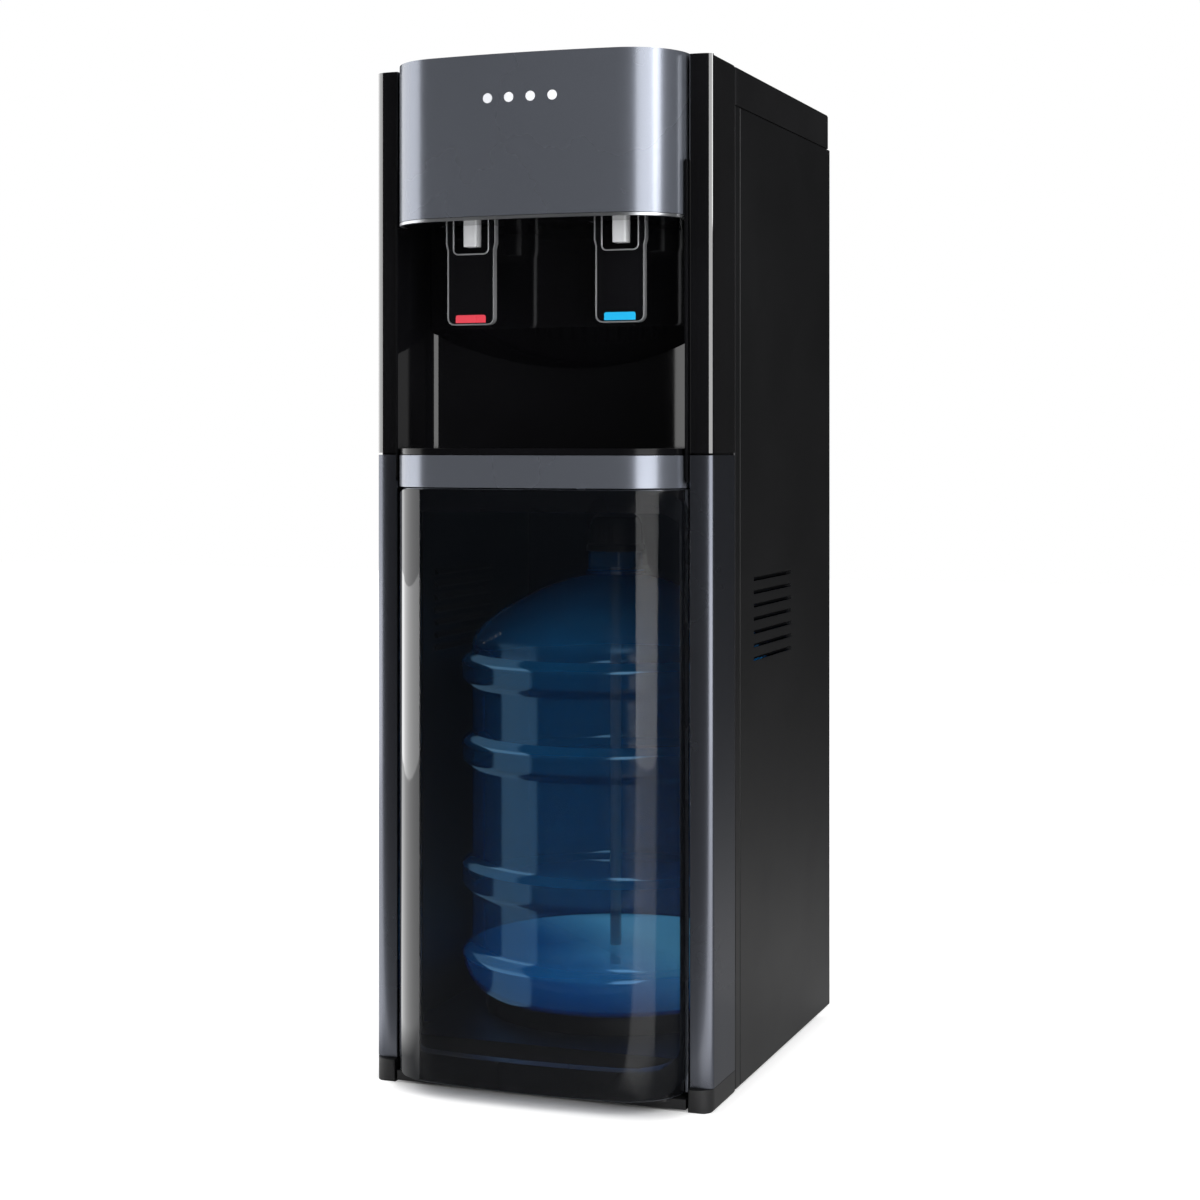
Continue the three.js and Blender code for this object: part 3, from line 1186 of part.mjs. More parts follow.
// The folded tube, with flat rails across it that step forward to the rear panel at each end.
function condenser() {
  const top = CONDENSER_BOTTOM + (CONDENSER_PASSES - 1) * CONDENSER_PITCH;
  const front = REAR_PANEL_Y + GAP;
  const face = REAR_Y - CONDENSER_INSET + CONDENSER_TUBE - RAIL_SHEET / 2;
  const low = CONDENSER_BOTTOM - RAIL_MARGIN;
  const high = top + RAIL_MARGIN;
  const step = [low + RAIL_MARGIN, high - RAIL_MARGIN];
  const side = [[front, low], [face + RAIL_SHEET, low], [face + RAIL_SHEET, high], [front, high],
    [front, step[1]], [face, step[1]], [face, step[0]], [front, step[0]]];
  const rails = [-1, 0, 1].map((i) => {
    const x = i * (CONDENSER_HALF - RAIL_INSET);
    return alongX(side, x - RAIL_HALF, x + RAIL_HALF);
  });
  return join(pipe(condenserPath(), CONDENSER_TUBE, 5), ...rails);
}

add('condenser', condenser(), finish('#141516', 0.5, 0.4));

// ---------------------------------------------------------------- rear service cover

const SERVICE_LOW = DECK_Z + SERVICE_RISE;
const SERVICE_HIGH = COVER_BOTTOM - SEAM;
const SERVICE_HALF = HALF - SIDE_FLANGE - SERVICE_CLEARANCE;
const SERVICE_BACK = REAR_Y - SERVICE_SETBACK;
const SWITCH_X = SERVICE_HALF - SWITCH_INSET;
const SWITCH_Z = SERVICE_HIGH - SWITCH_DROP;
const INLET_X = SWITCH_INSET - SERVICE_HALF;
const INLET_Z = SERVICE_LOW + INLET_RISE;
const DRAIN_Z = SERVICE_LOW + DRAIN_RISE;

function serviceCover() {
  const front = REAR_PANEL_Y + GAP;
  const back = SERVICE_BACK;
  const wall = SERVICE_WALL;
  const plan = (inset) => roundedRect(inset - SERVICE_HALF, SERVICE_HALF - inset,
    SERVICE_LOW + inset, SERVICE_HIGH - inset, SERVICE_CORNER - inset);
  const opening = (x, z, halfWidth, halfHeight) =>
    box(x - halfWidth, x + halfWidth, back - 2 * wall, back + 1, z - halfHeight, z + halfHeight);
  const windows = [0, 1].map((i) => opening(SWITCH_X - i * SWITCH_PITCH, SWITCH_Z,
    SWITCH_HALF_WIDTH + SWITCH_WINDOW, SWITCH_HALF_HEIGHT + SWITCH_WINDOW));
  const inlet = opening(INLET_X, INLET_Z, INLET_HALF_WIDTH + GAP, INLET_HALF_HEIGHT + GAP);
  const drain = facing(DRAIN_RADIUS + 1, DRAIN_X, DRAIN_Z, back - 2 * wall, back + 1);
  const vents = Array.from({ length: SERVICE_VENTS }, (_, i) => {
    const z = SERVICE_LOW + SERVICE_VENT_RISE + i * SERVICE_VENT_PITCH;
    return box(SERVICE_VENT_LEFT, SERVICE_VENT_RIGHT, back - 2 * wall, back + 1, z, z + 4);
  });
  const shell = cut(alongY(plan(0), front, back), alongY(plan(wall), front - 1, back - wall));
  return cut(shell, ...windows, inlet, drain, ...vents);
}

add('service_cover', serviceCover(), SATIN_BLACK);

// A rocker with a dished face, tilted to one of its two rest positions.
function rocker(x) {
  const face = REAR_Y - 2.5;
  const pivotY = REAR_Y - 9;
  const half = SWITCH_HALF_HEIGHT;
  const side = [[face - 12, -4], [face - 5, -half], [face + 0.6, -half], [face - 1.2, 0], [face + 0.6, half],
    [face - 5, half], [face - 12, 4]];
  const solid = alongX(side, -SWITCH_HALF_WIDTH, SWITCH_HALF_WIDTH).translate(0, -pivotY, 0);
  return solid.rotateX(-SWITCH_TILT).translate(x, pivotY, SWITCH_Z);
}

add('rocker_hot', rocker(SWITCH_X), finish('#b3202a', 0.4));
add('rocker_cold', rocker(SWITCH_X - SWITCH_PITCH), finish('#1c7a3c', 0.4));

// A socket with two chamfered corners and three blades inside.
function powerInlet() {
  const back = SERVICE_BACK;
  const shape = (inset) => {
    const w = INLET_HALF_WIDTH - inset;
    const h = INLET_HALF_HEIGHT - inset;
    const chamfer = (INLET_HALF_WIDTH - 10) * (h / INLET_HALF_HEIGHT);
    return [[-w, -h], [w, -h], [w, h - chamfer], [w - chamfer, h], [chamfer - w, h], [-w, h - chamfer]];
  };
  const floor = back - INLET_DEPTH + 6;
  const body = cut(alongY(shape(0), back - INLET_DEPTH, back), alongY(shape(INLET_WALL), floor, back + 1));
  const blades = [[-7, -1], [0, 3], [7, -1]].map(([bx, bz]) =>
    box(bx - 1, bx + 1, floor - 1, back - 4, bz - 2.5, bz + 2.5));
  return join(body, ...blades).translate(INLET_X, 0, INLET_Z);
}

add('power_inlet', powerInlet(), SATIN_BLACK);

function drainCap() {
  const back = SERVICE_BACK;
  const grip = Array.from({ length: DRAIN_RIBS * 2 }, (_, i) => {
    const radius = i % 2 ? DRAIN_RADIUS - 0.8 : DRAIN_RADIUS;
    const angle = (i * Math.PI) / DRAIN_RIBS;
    return [DRAIN_X + radius * Math.cos(angle), DRAIN_Z + radius * Math.sin(angle)];
  });
  const knob = alongY(grip, back - 2 * SERVICE_WALL, back);
  return join(knob, facing(DRAIN_SHANK, DRAIN_X, DRAIN_Z, back - DRAIN_LENGTH, back - SERVICE_WALL));
}

add('drain_cap', drainCap(), finish('#e8eaec', 0.5));

export default cooler;
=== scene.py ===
# %% [markdown]
# # A bottom load water cooler
#
# This lesson dresses a finished CAD model of a water cooler. The CAD model gives every piece its place and
# size, in metres, with the floor at Z = 0 and the front facing -Y. Here the pieces that show get soft edges,
# finer curves and procedural materials, and the scene gets its studio.

# %% Load the frame
import math

import bmesh
import bpy
import json
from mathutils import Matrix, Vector


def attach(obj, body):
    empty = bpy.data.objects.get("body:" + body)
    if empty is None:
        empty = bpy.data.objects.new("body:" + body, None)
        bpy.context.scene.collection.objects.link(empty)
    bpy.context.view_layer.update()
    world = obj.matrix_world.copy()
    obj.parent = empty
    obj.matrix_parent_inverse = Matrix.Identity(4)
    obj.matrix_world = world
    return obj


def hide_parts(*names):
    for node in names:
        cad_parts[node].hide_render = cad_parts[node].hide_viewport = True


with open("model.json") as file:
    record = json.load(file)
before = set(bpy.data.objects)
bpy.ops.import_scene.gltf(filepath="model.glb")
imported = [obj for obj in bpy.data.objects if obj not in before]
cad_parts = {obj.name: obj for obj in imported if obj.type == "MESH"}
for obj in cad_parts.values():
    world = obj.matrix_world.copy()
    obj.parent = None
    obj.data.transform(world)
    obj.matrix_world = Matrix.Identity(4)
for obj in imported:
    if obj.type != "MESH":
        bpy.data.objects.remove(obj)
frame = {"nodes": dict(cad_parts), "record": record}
NODES = frame["nodes"]
BODY_OF = {node: body for body, nodes in frame["record"]["behaviour"]["bodies"].items() for node in nodes}
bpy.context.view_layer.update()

# %% [markdown]
# ## The camera and the studio
#
# The photograph was taken with a long lens from about two metres, a little to the right of the cooler and
# level with its drip tray. The camera stays level, so the uprights stay parallel, and a small vertical
# shift brings the whole height into the frame.
#
# Two tall softboxes do most of the lighting. One stands far to the left and the other to the right of the
# camera. A narrow strip stands high beside the right one and sharpens the line on the panel. Their
# reflections are what draws the rolled edges of the front, so their places matter more than their power.
# Black gloss shows the room as well, so the room is kept dim in reflections. The camera, and anything seen
# through clear plastic, meets plain white.

# %% Camera
camera_data = bpy.data.cameras.new("camera")
camera = bpy.data.objects.new("camera", camera_data)
bpy.context.scene.collection.objects.link(camera)
camera.location = (0.8205, -2.2544, 0.6321)
camera.rotation_euler = (math.radians(90), 0, math.radians(20.2))
camera_data.lens = 68.7
camera_data.shift_y = -0.131
bpy.context.scene.camera = camera
bpy.context.scene.view_settings.view_transform = "Standard"
print("camera at", tuple(round(v, 3) for v in camera.location))


# %% Softboxes
def softbox(name, azimuth, distance, width, height, middle, radiance):
    """A tall area lamp at an azimuth counted from +X, which faces the cooler."""
    data = bpy.data.lights.new(name, "AREA")
    data.shape = "RECTANGLE"
    data.size, data.size_y = width, height
    data.energy = radiance * math.pi * width * height
    lamp = bpy.data.objects.new(name, data)
    turn = math.radians(azimuth)
    lamp.location = (distance * math.cos(turn), distance * math.sin(turn) - 0.2, middle)
    lamp.rotation_euler = (math.radians(90), 0, turn + math.radians(90))
    lamp.visible_camera = False
    bpy.context.scene.collection.objects.link(lamp)
    print(name, "radiance", radiance)


softbox("softbox_left", 180, 2.2, 2.6, 3.4, 1.2, 2.7)
softbox("softbox_right", -39, 2.4, 1.7, 3.4, 1.2, 3.6)
softbox("strip_right", -20, 2.4, 0.6, 1.2, 1.65, 7.0)


# %% Room and floor
def maths(tree, operation, *values):
    """One maths node. Sockets are linked to it and plain numbers are written on it."""
    node = tree.nodes.new("ShaderNodeMath")
    node.operation = operation
    for socket, value in zip(node.inputs, values):
        if isinstance(value, (int, float)):
            socket.default_value = value
        else:
            tree.links.new(value, socket)
    return node.outputs[0]


def ramp(tree, value, low, high, out_low=0.0, out_high=1.0):
    """Map a value from one range to another, and clamp it."""
    node = tree.nodes.new("ShaderNodeMapRange")
    for index, number in enumerate((low, high, out_low, out_high), 1):
        node.inputs[index].default_value = number
    tree.links.new(value, node.inputs[0])
    return node.outputs[0]


def seen_plainly(tree, glossy):
    """One for camera and transmission rays, a chosen part of it for glossy rays, and nothing for the rest."""
    path = tree.nodes.new("ShaderNodeLightPath")
    straight = maths(tree, "MAXIMUM", path.outputs["Is Camera Ray"], path.outputs["Is Transmission Ray"])
    return maths(tree, "MULTIPLY_ADD", path.outputs["Is Glossy Ray"], glossy, straight), path


def room():
    """White where the camera sees it, dim in reflections, and a soft fill for everything else."""
    world = bpy.data.worlds.new("room")
    bpy.context.scene.world = world
    world.use_nodes = True
    tree = world.node_tree
    background = tree.nodes["Background"]
    background.inputs["Color"].default_value = (1, 1, 1, 1)
    seen, path = seen_plainly(tree, 0.02)
    total = maths(tree, "MULTIPLY_ADD", path.outputs["Is Diffuse Ray"], 0.42, seen)
    tree.links.new(total, background.inputs["Strength"])


def studio_floor():
    """A pale floor. It takes the rendered shadow under the cooler, and where it is seen a glow lifts it to
    white.
    That glow is held back close to the cooler's outline, so the dark edge there is partly painted shadow.

    In reflections its colour is painted darker with distance and towards the camera, a painted falloff as of
    a floor lit from both sides, and it carries bright patches of painted light where the two softboxes stand.
    """
    bpy.ops.mesh.primitive_plane_add(size=16, location=(0, 0, 0))
    floor = bpy.context.object
    floor.name = "studio_floor"
    paint = bpy.data.materials.new("studio_floor")
    paint.use_nodes = True
    tree = paint.node_tree
    shader = tree.nodes["Principled BSDF"]
    shader.inputs["Roughness"].default_value = 0.7
    shader.inputs["Specular IOR Level"].default_value = 0.1
    shader.inputs["Emission Color"].default_value = (1, 1, 1, 1)
    point = tree.nodes.new("ShaderNodeSeparateXYZ")
    tree.links.new(tree.nodes.new("ShaderNodeTexCoord").outputs["Object"], point.inputs[0])
    across = maths(tree, "ABSOLUTE", point.outputs["X"])
    depth = maths(tree, "SUBTRACT", maths(tree, "ABSOLUTE", point.outputs["Y"]), 0.246)
    bow = maths(tree, "MULTIPLY", maths(tree, "POWER", maths(tree, "DIVIDE", across, 0.155), 8), 0.05)
    outside = maths(tree, "MAXIMUM", maths(tree, "SUBTRACT", across, 0.175),
                    maths(tree, "ADD", depth, maths(tree, "MINIMUM", bow, 0.06)))
    # Painted shadow: the glow that whitens the seen floor is held back close to the cooler's outline, so the
    # floor stays darker there.
    lift_and_painted_shadow = maths(tree, "ADD", ramp(tree, outside, -0.045, 0.015, 0.0, 0.6),
                 ramp(tree, outside, 0.015, 1.8, 0.0, 0.32))
    seen, path = seen_plainly(tree, 0.02)
    turn = maths(tree, "ARCTAN2", maths(tree, "ADD", point.outputs["Y"], 0.2), point.outputs["X"])
    # Painted shade in reflections: glossy rays see the floor's colour darker with distance from the cooler and
    # by direction round it.
    away = maths(tree, "POWER", maths(tree, "MAXIMUM", outside, 0.0), 1.5)
    front = ramp(tree, maths(tree, "ABSOLUTE", maths(tree, "ADD", turn, 1.9)), 0.4, 1.1, 0.42, 0.78)
    painted_falloff = maths(tree, "DIVIDE", front, maths(tree, "ADD", away, 1.0))
    glossy = path.outputs["Is Glossy Ray"]
    pale = maths(tree, "MULTIPLY_ADD", glossy, maths(tree, "SUBTRACT", painted_falloff, 1.0), 1.0)
    tree.links.new(maths(tree, "MULTIPLY", pale, 0.8), shader.inputs["Base Color"])
    # Painted light: bright emissive patches on the floor, seen only in reflections, where the two softboxes
    # stand.
    left = ramp(tree, maths(tree, "ABSOLUTE", turn), 2.56, 2.66)
    right = ramp(tree, maths(tree, "ABSOLUTE", maths(tree, "ADD", turn, 0.681)), 0.38, 0.3)
    painted_pools = maths(tree, "MULTIPLY", maths(tree, "ADD", left, right), ramp(tree, outside, 0.08, 0.2))
    glow = maths(tree, "MULTIPLY", maths(tree, "MULTIPLY", painted_pools, glossy), 2.2)
    tree.links.new(maths(tree, "MULTIPLY_ADD", lift_and_painted_shadow, seen, glow), shader.inputs["Emission Strength"])
    floor.data.materials.append(paint)


room()
studio_floor()

# %% [markdown]
# ## Working by hand in edit mode
#
# Every piece below starts as a primitive or as a copy of a CAD node, and is then shaped with the same
# operators that the menus offer. Operators work on whatever is selected, so each helper first clears the
# selection, then picks faces, edges or corners by their place.


# %% Selection helpers
def clear():
    """Leave edit mode and select nothing."""
    if bpy.context.object and bpy.context.object.mode != "OBJECT":
        bpy.ops.object.mode_set(mode="OBJECT")
    bpy.ops.object.select_all(action="DESELECT")


def take(piece):
    clear()
    piece.select_set(True)
    bpy.context.view_layer.objects.active = piece
    return piece


def edit(piece):
    take(piece)
    bpy.ops.object.mode_set(mode="EDIT")
    bpy.ops.mesh.select_all(action="SELECT")


def done():
    bpy.ops.object.mode_set(mode="OBJECT")


def settle(name):
    """The active object keeps its place in its mesh and its origin at the world's."""
    piece = bpy.context.object
    bpy.ops.object.transform_apply(location=True, rotation=True, scale=True)
    piece.name = piece.data.name = name
    return piece


def choose(kind, test):
    """In edit mode, select the corners, edges or faces whose middle passes a test."""
    bpy.ops.mesh.select_mode(type=kind)
    bpy.ops.mesh.select_all(action="DESELECT")
    mesh = bmesh.from_edit_mesh(bpy.context.object.data)
    parts = {"VERT": mesh.verts, "EDGE": mesh.edges, "FACE": mesh.faces}[kind]
    found = 0
    for part in parts:
        corners = [part.co] if kind == "VERT" else [v.co for v in part.verts]
        if test(sum(corners, Vector()) / len(corners), part):
            part.select_set(True)
            found += 1
    mesh.select_flush_mode()
    bmesh.update_edit_mesh(bpy.context.object.data)
    return found


def modify(piece, kind, **settings):
    """Add one modifier and apply it."""
    take(piece)
    modifier = piece.modifiers.new(kind.lower(), kind)
    for key, value in settings.items():
        setattr(modifier, key, value)
    bpy.ops.object.modifier_apply(modifier=modifier.name)


def soften(piece, width, segments=2, angle=30):
    """Round every edge that is sharper than an angle, as a mould or a press leaves it."""
    modify(piece, "BEVEL", width=width, segments=segments, limit_method="ANGLE",
           angle_limit=math.radians(angle), harden_normals=False, use_clamp_overlap=True)


def smooth(piece, angle=32):
    take(piece)
    bpy.ops.object.shade_smooth_by_angle(angle=math.radians(angle))


def block(name, middle, size):
    """A box at its place and size."""
    clear()
    bpy.ops.mesh.primitive_cube_add(size=1, location=middle, scale=size)
    return settle(name)


def upright_sheet(name, middle, size, turn=0):
    """One flat upright face. The primitive ignores its scale, so the resize gives the size."""
    clear()
    bpy.ops.mesh.primitive_plane_add(size=1, location=middle,
                                     rotation=(math.radians(90), 0, math.radians(turn)))
    bpy.ops.transform.resize(value=size, center_override=middle)
    return settle(name)


def carve(piece, tool, operation="DIFFERENCE"):
    """Cut one piece with another, and throw the tool away."""
    modify(piece, "BOOLEAN", operation=operation, object=tool, solver="EXACT")
    bpy.data.objects.remove(tool)


def join(piece, *others):
    clear()
    for each in (*others, piece):
        each.select_set(True)
    bpy.context.view_layer.objects.active = piece
    bpy.ops.object.join()


print("helpers ready")

# %% [markdown]
# ## Finishes
#
# The cooler has few finishes, but each has its own surface. Moulded plastic has a very fine grain and faint
# smudges that change its gloss, metallic paint has flakes under a clear layer, and sheet metal shows its
# rolling direction. These three effects are node groups that every material can share. Each takes the
# point on the piece in Object coordinates, so the pattern stays with the piece when it moves.


# %% Shared node groups
def new_group(name, inputs, outputs):
    group = bpy.data.node_groups.new(name, "ShaderNodeTree")
    group.interface.new_socket("Vector", in_out="INPUT", socket_type="NodeSocketVector")
    for label, value in inputs.items():
        socket = group.interface.new_socket(label, in_out="INPUT", socket_type="NodeSocketFloat")
        socket.default_value = value
    for label in outputs:
        group.interface.new_socket(label, in_out="OUTPUT", socket_type="NodeSocketFloat")
    return group, group.nodes.new("NodeGroupInput"), group.nodes.new("NodeGroupOutput")


def noise(tree, vector, scale, detail=2.0, stretch=None):
    """A noise texture, if wanted on stretched coordinates."""
    texture = tree.nodes.new("ShaderNodeTexNoise")
    texture.inputs["Scale"].default_value = scale
    texture.inputs["Detail"].default_value = detail
    if stretch:
        mapping = tree.nodes.new("ShaderNodeMapping")
        mapping.inputs["Scale"].default_value = stretch
        tree.links.new(vector, mapping.inputs["Vector"])
        vector = mapping.outputs["Vector"]
    tree.links.new(vector, texture.inputs["Vector"])
    return texture.outputs["Fac"]


def moulded_group():
    """Fine grain, slow waves and smudges: gives a roughness, a height and a shade."""
    tree, source, sink = new_group("moulded surface", {"Roughness": 0.3, "Spread": 0.06, "Grain": 1400.0},
                                   ["Roughness", "Height", "Shade"])
    grain = tree.nodes.new("ShaderNodeTexNoise")
    grain.inputs["Detail"].default_value = 1.0
    tree.links.new(source.outputs["Vector"], grain.inputs["Vector"])
    tree.links.new(source.outputs["Grain"], grain.inputs["Scale"])
    smudge = noise(tree, source.outputs["Vector"], 7.0, 4.0)
    wave = noise(tree, source.outputs["Vector"], 24.0, 1.0)
    spread = maths(tree, "MULTIPLY", ramp(tree, smudge, 0.35, 0.7, -1.0, 1.0), source.outputs["Spread"])
    tree.links.new(maths(tree, "ADD", source.outputs["Roughness"], spread), sink.inputs["Roughness"])
    height = maths(tree, "ADD", maths(tree, "MULTIPLY", grain.outputs["Fac"], 0.6), wave)
    tree.links.new(height, sink.inputs["Height"])
    tree.links.new(ramp(tree, smudge, 0.3, 0.7, 0.0, 1.0), sink.inputs["Shade"])
    return tree


def flake_group():
    """Metal flakes under paint: a shade that changes from flake to flake."""
    tree, source, sink = new_group("paint flakes", {"Size": 2600.0}, ["Shade", "Height"])
    cells = tree.nodes.new("ShaderNodeTexVoronoi")
    tree.links.new(source.outputs["Vector"], cells.inputs["Vector"])
    tree.links.new(source.outputs["Size"], cells.inputs["Scale"])
    split = tree.nodes.new("ShaderNodeSeparateColor")
    tree.links.new(cells.outputs["Color"], split.inputs[0])
    tree.links.new(split.outputs[0], sink.inputs["Shade"])
    tree.links.new(split.outputs[1], sink.inputs["Height"])
    return tree


def rolled_group():
    """Sheet metal with fine lines along X: a shade, a roughness and a height."""
    tree, source, sink = new_group("rolled sheet", {"Roughness": 0.35, "Spread": 0.1},
                                   ["Roughness", "Height", "Shade"])
    lines = noise(tree, source.outputs["Vector"], 60.0, 3.0, stretch=(0.2, 8.0, 12.0))
    cloud = noise(tree, source.outputs["Vector"], 18.0, 3.0)
    spread = maths(tree, "MULTIPLY", ramp(tree, lines, 0.3, 0.7, -1.0, 1.0), source.outputs["Spread"])
    tree.links.new(maths(tree, "ADD", source.outputs["Roughness"], spread), sink.inputs["Roughness"])
    tree.links.new(lines, sink.inputs["Height"])
    tree.links.new(ramp(tree, cloud, 0.35, 0.65), sink.inputs["Shade"])
    return tree


def dust_group():
    """A little dust where a surface faces up."""
    tree, source, sink = new_group("settled dust", {"Amount": 0.1}, ["Mask"])
    normal = tree.nodes.new("ShaderNodeNewGeometry")
    split = tree.nodes.new("ShaderNodeSeparateXYZ")
    tree.links.new(normal.outputs["Normal"], split.inputs[0])
    up = ramp(tree, split.outputs["Z"], 0.4, 1.0)
    patches = ramp(tree, noise(tree, source.outputs["Vector"], 30.0, 5.0), 0.4, 0.75)
    mask = maths(tree, "MULTIPLY", maths(tree, "MULTIPLY", up, patches), source.outputs["Amount"])
    tree.links.new(mask, sink.inputs["Mask"])
    return tree


MOULDED, FLAKES, ROLLED, DUST = moulded_group(), flake_group(), rolled_group(), dust_group()
print("groups:", [group.name for group in (MOULDED, FLAKES, ROLLED, DUST)])


# %% Material helpers
def start_material(name, **settings):
    """A material whose plain numbers go straight on the shader's own sockets."""
    material = bpy.data.materials.new(name)
    material.use_nodes = True
    tree = material.node_tree
    shader = tree.nodes["Principled BSDF"]
    for label, value in settings.items():
        shader.inputs[label.replace("_", " ")].default_value = value
    point = tree.nodes.new("ShaderNodeTexCoord").outputs["Object"]
    return material, tree, shader, point


def place_group(tree, group, point, **values):
    node = tree.nodes.new("ShaderNodeGroup")
    node.node_tree = group
    tree.links.new(point, node.inputs["Vector"])
    for label, value in values.items():
        node.inputs[label].default_value = value
    return node.outputs


def two_tone(tree, factor, dark, light):
    mix = tree.nodes.new("ShaderNodeMix")
    mix.data_type = "RGBA"
    mix.inputs[6].default_value = (*dark, 1)
    mix.inputs[7].default_value = (*light, 1)
    tree.links.new(factor, mix.inputs[0])
    return mix.outputs[2]


def raise_surface(tree, shader, height, distance):
    bump = tree.nodes.new("ShaderNodeBump")
    bump.inputs["Distance"].default_value = distance
    tree.links.new(height, bump.inputs["Height"])
    tree.links.new(bump.outputs["Normal"], shader.inputs["Normal"])


def plastic(name, dark, light, roughness, spread=0.04, grain=1400.0, bump=0.00001, dust=0.0, **settings):
    """Moulded plastic between two close colours."""
    material, tree, shader, point = start_material(name, **settings)
    surface = place_group(tree, MOULDED, point, Roughness=roughness, Spread=spread, Grain=grain)
    colour = two_tone(tree, surface["Shade"], dark, light)
    if dust:
        mask = place_group(tree, DUST, point, Amount=dust)["Mask"]
        mix = tree.nodes.new("ShaderNodeMix")
        mix.data_type = "RGBA"
        mix.inputs[7].default_value = (0.3, 0.3, 0.3, 1)
        tree.links.new(mask, mix.inputs[0])
        tree.links.new(colour, mix.inputs[6])
        colour = mix.outputs[2]
    tree.links.new(colour, shader.inputs["Base Color"])
    tree.links.new(surface["Roughness"], shader.inputs["Roughness"])
    raise_surface(tree, shader, surface["Height"], bump)
    return material


def metal_sheet(name, dark, light, roughness, spread=0.08):
    material, tree, shader, point = start_material(name, Metallic=1.0)
    surface = place_group(tree, ROLLED, point, Roughness=roughness, Spread=spread)
    tree.links.new(two_tone(tree, surface["Shade"], dark, light), shader.inputs["Base Color"])
    tree.links.new(surface["Roughness"], shader.inputs["Roughness"])
    raise_surface(tree, shader, surface["Height"], 0.00002)
    return material


def metallic_paint(name, dark, light, roughness, metallic, **settings):
    """Flakes in the paint give the shade, and a smooth coat lies over them."""
    material, tree, shader, point = start_material(name, Metallic=metallic, **settings)
    flakes = place_group(tree, FLAKES, point)
    surface = place_group(tree, MOULDED, point, Roughness=roughness, Spread=0.015)
    tree.links.new(two_tone(tree, flakes["Shade"], dark, light), shader.inputs["Base Color"])
    tree.links.new(surface["Roughness"], shader.inputs["Roughness"])
    raise_surface(tree, shader, flakes["Height"], 0.0000012)
    return material


# %% The finishes of the cooler
GUNMETAL = metallic_paint("gunmetal_paint", (0.18, 0.195, 0.23), (0.195, 0.21, 0.247), 0.27, 0.66,
                          Coat_Weight=0.35, Coat_Roughness=0.09, Specular_Tint=(0.5, 0.5, 0.5, 1))
PILLAR_PAINT = metallic_paint("dark_gunmetal_paint", (0.09, 0.096, 0.116), (0.101, 0.108, 0.128), 0.27, 0.85,
                              Coat_Weight=0.3, Coat_Roughness=0.08, Specular_Tint=(0.5, 0.5, 0.5, 1))
RIM_METAL = plastic("rim_metal", (0.6, 0.61, 0.63), (0.68, 0.69, 0.71), 0.36, 0.04, Metallic=0.8)
SILVER_TRIM = plastic("silver_trim", (0.36, 0.37, 0.39), (0.42, 0.43, 0.45), 0.3, 0.04, Metallic=0.9)
GLOSS_BLACK = plastic("gloss_black_plastic", (0.003, 0.003, 0.0035), (0.005, 0.005, 0.006), 0.07, 0.02,
                      bump=0.000002)
TRAY_BLACK = plastic("tray_black_plastic", (0.003, 0.003, 0.0035), (0.005, 0.005, 0.006), 0.2, 0.03,
                     bump=0.000005, Specular_IOR_Level=0.15)
SATIN_BLACK = plastic("satin_black_plastic", (0.0075, 0.0075, 0.0083), (0.011, 0.011, 0.012), 0.42, 0.05,
                      grain=2200.0, bump=0.00003, dust=0.03)
PILLAR_BLACK = plastic("pillar_gloss_black", (0.003, 0.003, 0.0035), (0.005, 0.005, 0.006), 0.06, 0.02,
                       bump=0.000002, Specular_IOR_Level=0.9, Coat_Weight=1.0, Coat_Roughness=0.04)
PANEL_BLACK = plastic("side_panel_paint", (0.0055, 0.0057, 0.0064), (0.0075, 0.0077, 0.0085), 0.44, 0.025,
                      grain=1700.0, bump=0.00002)
STEEL = metal_sheet("zinc_plated_steel", (0.45, 0.46, 0.48), (0.6, 0.61, 0.63), 0.33)
BLACK_PAINT = plastic("black_painted_metal", (0.006, 0.006, 0.0065), (0.01, 0.01, 0.011), 0.5, 0.06,
                      grain=900.0, bump=0.00005, dust=0.05)
WHITE_PLASTIC = plastic("white_plastic", (0.72, 0.73, 0.75), (0.8, 0.81, 0.83), 0.25, 0.05)
RED_PLASTIC = plastic("red_plastic", (0.72, 0.05, 0.075), (0.82, 0.07, 0.1), 0.28, 0.04)
BLUE_PLASTIC = plastic("blue_plastic", (0.01, 0.42, 0.78), (0.015, 0.5, 0.88), 0.28, 0.04)
GREEN_PLASTIC = plastic("green_plastic", (0.01, 0.2, 0.06), (0.015, 0.27, 0.08), 0.3, 0.04)
BOARD_GREEN = plastic("board_lacquer", (0.01, 0.1, 0.03), (0.02, 0.16, 0.05), 0.35, 0.05)
FOAM = plastic("tank_foam", (0.6, 0.58, 0.52), (0.75, 0.73, 0.66), 0.8, 0.05, grain=300.0, bump=0.0004)
RUBBER = plastic("foot_rubber", (0.012, 0.012, 0.012), (0.02, 0.02, 0.02), 0.75, 0.08, grain=800.0,
                 bump=0.0001)
CLEAR_TUBE = plastic("clear_tube", (0.6, 0.62, 0.64), (0.7, 0.72, 0.74), 0.2, 0.05, Alpha=0.6)


